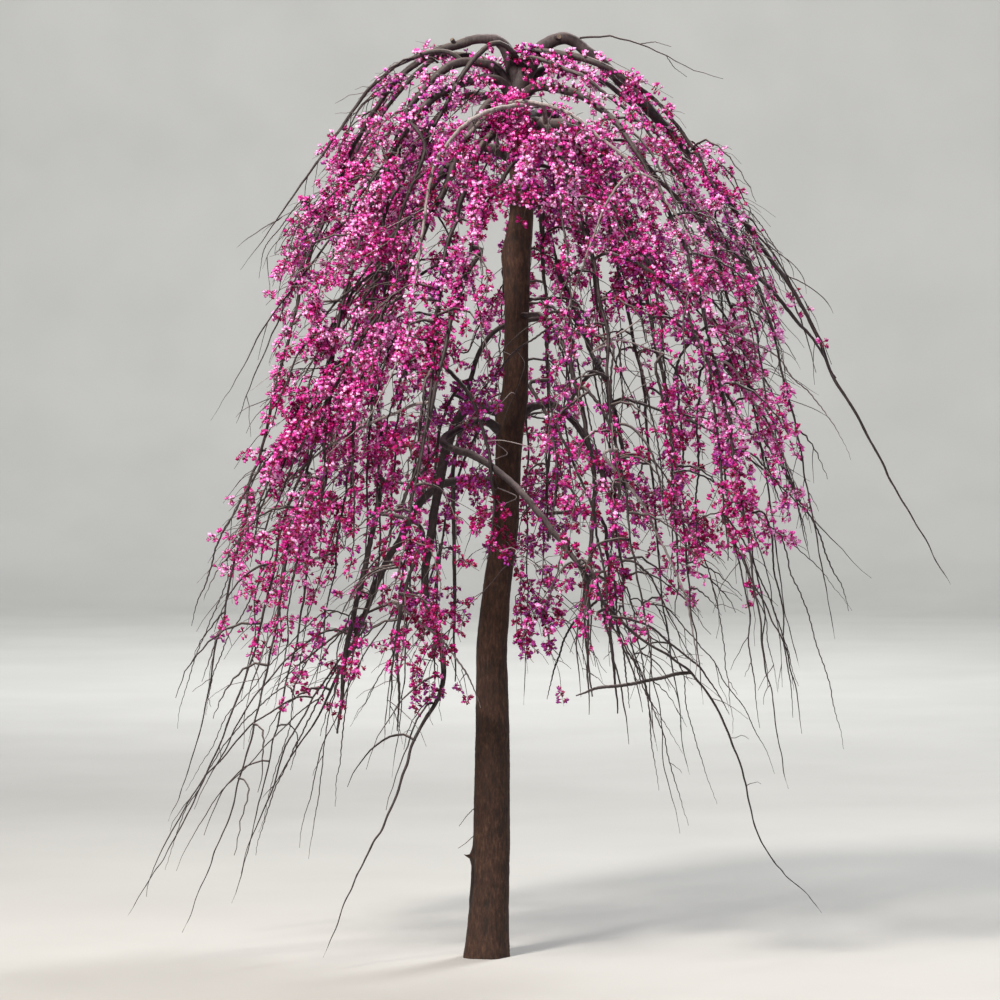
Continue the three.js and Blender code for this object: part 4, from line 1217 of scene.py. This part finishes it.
def bark_material(name, grain_mm, roughness):
    """Living bark: dark in its furrows, brown on its plates, with pale flecks, and painted shade where the
    relief values are low.

    Its cork splits lengthwise into fine scales as the wood swells, so the grain runs upright, and
    the dry edges of the scales scatter the light. A fourth colour is painted sunlight, lighter on the
    upward-facing sides of a limb.
    """
    furrow, plate, fleck, *painted_sunlight = finish_colours(name)
    material, tree, surface = new_material(name, Roughness=roughness)
    place = add_node(tree, "ShaderNodeTexCoord").outputs["Object"]
    relief = add_node(tree, "ShaderNodeAttribute", attribute_name="relief").outputs["Fac"]
    stretched = add_node(tree, "ShaderNodeMapping", [("Vector", place)], Scale=(1, 1, 0.35))
    fine = add_node(tree, "ShaderNodeTexNoise", [("Vector", stretched.outputs[0])],
                    Scale=1 / (grain_mm * MM), Detail=7.0, Roughness=0.7)
    # Painted shade: darker where the relief value is low, which on the trunk and its snag follows the
    # furrows and wounds; on the boughs that value is random noise.
    depth = add_node(tree, "ShaderNodeMapRange", [("Value", relief)], From_Min=-1.3, From_Max=0.6)
    broad = add_node(tree, "ShaderNodeTexNoise", [("Vector", place)],
                     Scale=1 / (BARK_PATCH_MM * MM), Detail=3.0)
    layers = [
        (fine.outputs["Fac"], [(0.36, furrow), (0.52, plate), (0.7, fleck)]),
        (depth.outputs[0], [(0.0, linear(PAINTED_FURROW_SHADE)), (1.0, linear("#FFFFFF"))]),
        (broad.outputs["Fac"], [(0.35, linear(PATCH_SHADE)), (0.65, linear("#FFFFFF"))]),
    ]
    ramps = [add_node(tree, "ShaderNodeValToRGB", [("Fac", source)], stops) for source, stops in layers]
    colour = ramps[0].outputs[0]
    for shade in ramps[1:]:
        colour = add_node(tree, "ShaderNodeMix", [(0, 1.0), (6, colour), (7, shade.outputs[0])],
                          data_type="RGBA", blend_type="MULTIPLY").outputs[2]
    if painted_sunlight:
        # Painted sunlight: the fourth colour is mixed in where the surface faces up.
        normal = add_node(tree, "ShaderNodeNewGeometry").outputs["Normal"]
        upward = add_node(tree, "ShaderNodeSeparateXYZ", [(0, normal)]).outputs["Z"]
        top = add_node(tree, "ShaderNodeMapRange", [("Value", upward)], From_Min=0.4, From_Max=1.0,
                       To_Max=0.42)
        layer = [(0, top.outputs[0]), (6, colour), (7, (*painted_sunlight[0], 1.0))]
        colour = add_node(tree, "ShaderNodeMix", layer, data_type="RGBA").outputs[2]
    tree.links.new(colour, surface.inputs["Base Color"])
    bump = add_node(tree, "ShaderNodeBump", [("Height", fine.outputs["Fac"])],
                    Strength=0.6, Distance=BARK_BUMP_MM * MM)
    tree.links.new(bump.outputs[0], surface.inputs["Normal"])
    return material


def mottled_material(name, size_mm, edges, detail, **shader):
    """A finish whose two colours mingle in soft patches of a real size."""
    material, tree, surface = new_material(name, **shader)
    place = add_node(tree, "ShaderNodeTexCoord").outputs["Object"]
    mottle = add_node(tree, "ShaderNodeTexNoise", [("Vector", place)],
                      Scale=1 / (size_mm * MM), Detail=detail)
    stops = list(zip(edges, finish_colours(name)))
    colour = add_node(tree, "ShaderNodeValToRGB", [("Fac", mottle.outputs["Fac"])], stops)
    tree.links.new(colour.outputs[0], surface.inputs["Base Color"])
    return material


def petal_material(name):
    """Fresh petals: the cone-shaped cells of their skin trap the light, so they barely shine.

    Their colour is in the sap of those cells, and its tone shifts from one flower to the next.
    """
    return mottled_material(name, FLOWER_TONE_MM, (0.36, 0.64), 2.0,
                            Roughness=0.55, IOR=1.38, Specular_IOR_Level=0.2)


def matte_material(name, size_mm, roughness):
    """A plain finish with a faint mottle."""
    return mottled_material(name, size_mm, (0.35, 0.65), 3.0, Roughness=roughness)


# ---------------------------------------------------------------- settings


class TrunkSettings(bpy.types.PropertyGroup):
    sides: IntProperty(name="Sides", description="Corners round the trunk", default=112, min=24)
    ring_step: FloatProperty(
        name="Ring step", description="Height between two rings of the trunk, mm", default=4.4, min=2)
    furrow: FloatProperty(
        name="Furrow depth", description="Depth of the bark's furrows, mm", default=1.5, min=0)


class WoodSettings(bpy.types.PropertyGroup):
    bough_relief: FloatProperty(
        name="Bough relief", description="Roughness of the boughs' bark, mm", default=0.9, min=0)
    strands: IntProperty(
        name="Strands", description="Hanging strands that each leader bears", default=3, min=1)
    twigs: IntProperty(
        name="Extra twigs", description="Twigs of each leader beyond the solid model's", default=9, min=1)
    shoot_spacing: FloatProperty(
        name="Shoot spacing", description="Distance between side shoots, mm", default=66.0, min=20)


class BlossomSettings(bpy.types.PropertyGroup):
    spacing: FloatProperty(
        name="Cluster spacing", description="Distance between blossom clusters, mm", default=25.0, min=8)
    scale: FloatProperty(
        name="Flower scale", description="Size of a flower, 1 for life size", default=FLOWER_SCALE, min=0.5)


class FinishSettings(bpy.types.PropertyGroup):
    __annotations__ = {
        f"{name}_{number}": FloatVectorProperty(
            name=f"{name} {number}".replace("_", " ").capitalize(),
            description="Colour of this finish; 0 is its deepest",
            default=linear(colour), subtype="COLOR", min=0, max=1)
        for name, colours in COLOURS.items() for number, colour in enumerate(colours)
    }


class StageSettings(bpy.types.PropertyGroup):
    distance: FloatProperty(
        name="Camera distance", description="Distance to the tree, m", default=12.0, min=1, unit="LENGTH")
    height: FloatProperty(
        name="Camera height", description="Height of the camera, m", default=1.55, min=0, unit="LENGTH")
    frame_width: FloatProperty(
        name="Frame width", description="Width in view at the trunk, m", default=2.7086, min=0.1,
        unit="LENGTH")
    aim: FloatVectorProperty(
        name="Aim", description="Point at the middle of the view, m", default=(0.035, 0.0, 1.24),
        subtype="XYZ")


# ---------------------------------------------------------------- operators


def grown_tree(context):
    wood = context.scene.redbud_wood
    return grow(wood.strands, wood.twigs, wood.shoot_spacing)


class REDBUD_OT_trunk(bpy.types.Operator):
    """Build the trunk with its bark relief and broken snag"""

    bl_idname = "redbud.trunk"
    bl_label = "Trunk"

    def execute(self, context):
        settings = context.scene.redbud_trunk
        leaders = grown_tree(context).leaders
        heap = Heap()
        heap.add(*trunk_mesh(settings.sides, settings.ring_step, settings.furrow, leaders))
        heap.add(*snag_mesh())
        # Young trunk: thin bark split into fine upright scales about 7 mm wide, dull and dry.
        # Its furrows and wounds get painted shade from the relief values.
        bark = bark_material("trunk_bark_furrowed", 7.0, 0.85)
        settle(heap.object("trunk_bark", bark), ["trunk"])
        return {"FINISHED"}


class REDBUD_OT_boughs(bpy.types.Operator):
    """Build the boughs, their collars and their pruned stubs"""

    bl_idname = "redbud.boughs"
    bl_label = "Boughs"

    def execute(self, context):
        relief = context.scene.redbud_wood.bough_relief
        leaders = {leader.name: leader for leader in grown_tree(context).leaders}
        heap, cuts = Heap(), Heap()
        for leader in leaders.values():
            heap.add(*bough_part(leader, 0, leader.wood, 4.0, 20, relief))
        for name, share, heading, pitch, radius, length in STUBS:
            leader = leaders[name]
            point = wander(leader.fine.at(np.array([share * leader.line.length])))[0]
            way = direction(heading, pitch)
            verts, quads = stub(point, way, radius, length)
            heap.add(verts, quads)
            cuts.add(*cut_face(verts[-STUB_SIDES:], way))
        # Limbs: smooth tight bark with a faint shine, painted paler grey on their upper sides as painted
        # sunlight.
        bark = bark_material("bough_bark_smooth", 6.0, 0.7)
        settle(heap.object("boughs", bark), BOUGHS)
        # Cuts: end grain that the saw left flat and the weather has greyed and dried.
        wood = matte_material("weathered_cut_wood", 3.0, 0.85)
        settle(cuts.object("pruning_cuts", wood, smooth=False), BOUGHS)
        return {"FINISHED"}


class REDBUD_OT_twigs(bpy.types.Operator):
    """Build the stems, hanging strands, limbs, twigs and side shoots"""

    bl_idname = "redbud.twigs"
    bl_label = "Twigs"

    def execute(self, context):
        grown = grown_tree(context)
        stems, strands, limbs, twigs, shoots, sunlit = (Heap() for _ in range(6))
        for leader in grown.leaders:
            end = leader.fine.length - 4
            stems.add(*bough_part(leader, leader.wood, end, 9.0, 9, 0.35))
        radii = taper(grown.strand_base, 0.9, grown.strands.shape[1])
        strands.add(*tubes(wander(grown.strands), radii, 5))
        for points, radius in LONE_TWIGS:
            line = zigzag(resampled([points], 16), 1.2, np.random.default_rng(7))
            strands.add(*tubes(line, taper(np.array([radius]), 0.7, 16), 6))
        tips = np.linspace(1, 0.4, LIMB_TIP_RINGS)
        radii = grown.limb_radii * np.append(np.ones(LIMB_RINGS - LIMB_TIP_RINGS), tips)
        for heap, chosen in ((limbs, grown.sunlit < 1), (sunlit, grown.sunlit == 1)):
            heap.add(*tubes(wander(grown.limbs[chosen]), radii[chosen], 6))
        twigs.add(*tubes(wander(grown.twigs), taper(grown.twig_base, 0.8, grown.twigs.shape[1]), 4))
        radii = taper(np.full(len(grown.shoots), 1.5), 0.6, grown.shoots.shape[1])
        shoots.add(*tubes(wander(grown.shoots), radii, 3))
        # Twigs: a skin too young to have split, waxy enough for a dull shine, with pale pores.
        # Its fourth colour is painted sunlight on the upper sides of twigs and limbs.
        bark = bark_material("twig_bark_thin", 5.0, 0.6)
        wood = {"stems": stems, "strands": strands, "limbs": limbs, "twigs": twigs, "side_shoots": shoots}
        for name, heap in wood.items():
            settle(heap.object(name, bark), CURTAINS)
        # Sunlit limbs: the same skin in paler greys as painted sunlight, and paler still on their tops,
        # painted sunlight too.
        pale = bark_material("twig_bark_painted_sunlit", 5.0, 0.65)
        settle(sunlit.object("limbs_painted_sunlit", pale), CURTAINS)
        return {"FINISHED"}


class REDBUD_OT_blossom(bpy.types.Operator):
    """Build the petals, calyces and buds, each tint a piece of its own"""

    bl_idname = "redbud.blossom"
    bl_label = "Blossom"

    def execute(self, context):
        settings = context.scene.redbud_blossom
        rng = np.random.default_rng(97)
        bloom = make_blossom(grown_tree(context), settings.spacing, settings.scale, rng)
        keel, petals, stalk, bud = flower_shapes()
        opened = ~bloom.closed
        # Painted shade: shaded flowers get the bluer orchid keels.
        inner = opened & (bloom.shaded > ORCHID_SHADE)
        outer = opened & ~inner
        # Tints by tone: the deep ones stand as painted shade, the pale ones as painted light.
        keels, wings = bloom.tone, bloom.wing_tone
        pieces = (
            ("keels_deep", "keels_deep_magenta", keel, outer & (keels < 0.3)),
            ("keels_magenta", "keels_magenta", keel, outer & (keels >= 0.3) & (keels < 0.52)),
            ("keels_bright", "keels_bright_pink", keel, outer & (keels >= 0.52) & (keels < 0.74)),
            ("keels_pale", "keels_pale_pink", keel, outer & (keels >= 0.74)),
            ("keels_painted_shade_orchid", "keels_painted_shade_orchid", keel, inner),
            ("petals_rose", "petals_rose", petals, opened & (wings < 0.42)),
            ("petals_pink", "petals_pink", petals, opened & (wings >= 0.42) & (wings < 0.66)),
            ("petals_pale", "petals_pale_pink", petals, opened & (wings >= 0.66)),
            ("calyces", "calyx_wine_red", stalk, opened),
            ("closed_buds", "bud_deep_magenta", bud, bloom.closed),
        )
        for name, finish, shape, chosen in pieces:
            # Calyces: leathery cups with a waxy skin, so glossier than the petals.
            material = matte_material(finish, 3.0, 0.5) if shape is stalk else petal_material(finish)
            places = [bloom.roots, bloom.facing, bloom.spin, bloom.scale]
            verts, tris = placed(shape, *[values[chosen] for values in places])
            heap = Heap()
            heap.add(verts, tris=tris)
            settle(heap.object(name, material), CURTAINS)
        return {"FINISHED"}


def studio_sweep(material):
    """A round floor that bends up into a wall, with the tree at its middle."""
    bend = np.linspace(0, np.pi / 2, 13)
    curve = SWEEP_RADIUS - SWEEP_BEND + SWEEP_BEND * np.sin(bend)
    out = np.concatenate([[20, 6000, 12000], curve, [SWEEP_RADIUS]])
    height = np.concatenate([[0, 0, 0], SWEEP_BEND * (1 - np.cos(bend)), [SWEEP_HEIGHT]])
    turn = np.radians(np.arange(0, 360, 5))[:, None]
    rows = np.stack([out * np.cos(turn), out * np.sin(turn), height + 0 * turn], -1)
    sides, rings = rows.shape[:2]
    corner = (np.arange(sides)[:, None] * rings + np.arange(rings - 1)).ravel()
    beside = (corner + rings) % (sides * rings)
    heap = Heap()
    heap.add(rows.reshape(-1, 3), np.stack([corner, beside, beside + 1, corner + 1], -1)[:, ::-1])
    heap.add(np.vstack([rows[:, 0], [[0, 0, 0]]]), tris=fan_tris(0, sides, sides))
    return heap.object("studio_sweep", material)


def point_at(holder, place, target):
    """Puts a light or the camera into the scene at a place, turned to its target."""
    holder.location = place
    holder.rotation_euler = (Vector(target) - Vector(place)).to_track_quat("-Z", "Y").to_euler()
    bpy.context.scene.collection.objects.link(holder)


class REDBUD_OT_stage(bpy.types.Operator):
    """Set the floor, the soft studio lights and the camera"""

    bl_idname = "redbud.stage"
    bl_label = "Stage"

    def execute(self, context):
        settings = context.scene.redbud_stage
        scene = context.scene
        # Floor: seamless matte paper, its mottle far too broad and faint to draw the eye.
        studio_sweep(matte_material("pale_studio_floor", 900.0, 0.9))
        world = bpy.data.worlds.new("studio")
        scene.world = world
        world.use_nodes = True
        background = world.node_tree.nodes["Background"]
        background.inputs[0].default_value = (*linear(AIR_COLOUR), 1.0)
        background.inputs[1].default_value = AIR_STRENGTH
        for name, place, target, size, power, colour in LIGHTS:
            lamp = bpy.data.lights.new(name, "AREA")
            lamp.shape, lamp.size, lamp.energy = "DISK", size, power
            lamp.color = linear(colour)
            point_at(bpy.data.objects.new(name, lamp), place, target)
        aim = Vector(settings.aim)
        place = Vector((aim.x, -settings.distance, settings.height))
        camera = bpy.data.cameras.new("camera")
        camera.sensor_width = 36
        camera.lens = camera.sensor_width * (aim - place).length / settings.frame_width
        camera.clip_end = 100
        scene.camera = bpy.data.objects.new("camera", camera)
        point_at(scene.camera, place, aim)
        scene.view_settings.view_transform = "Standard"
        return {"FINISHED"}


class REDBUD_PT_panel(bpy.types.Panel):
    bl_label = "Weeping redbud"
    bl_idname = "REDBUD_PT_panel"
    bl_space_type = "VIEW_3D"
    bl_region_type = "UI"
    bl_category = "Redbud"

    def draw(self, context):
        for operator in OPERATORS:
            self.layout.operator(operator.bl_idname)


OPERATORS = (REDBUD_OT_stage, REDBUD_OT_trunk, REDBUD_OT_boughs, REDBUD_OT_twigs, REDBUD_OT_blossom)
SETTINGS = {
    "redbud_trunk": TrunkSettings,
    "redbud_wood": WoodSettings,
    "redbud_blossom": BlossomSettings,
    "redbud_finish": FinishSettings,
    "redbud_stage": StageSettings,
}
CLASSES = (*SETTINGS.values(), *OPERATORS, REDBUD_PT_panel)


def register():
    for cls in CLASSES:
        bpy.utils.register_class(cls)
    for name, group in SETTINGS.items():
        setattr(bpy.types.Scene, name, PointerProperty(type=group))


def unregister():
    for name in SETTINGS:
        delattr(bpy.types.Scene, name)
    for cls in reversed(CLASSES):
        bpy.utils.unregister_class(cls)


def main():
    register()
    bpy.ops.redbud.stage()
    bpy.ops.redbud.trunk()
    bpy.ops.redbud.boughs()
    bpy.ops.redbud.twigs()
    bpy.ops.redbud.blossom()


if __name__ == "__main__":
    main()
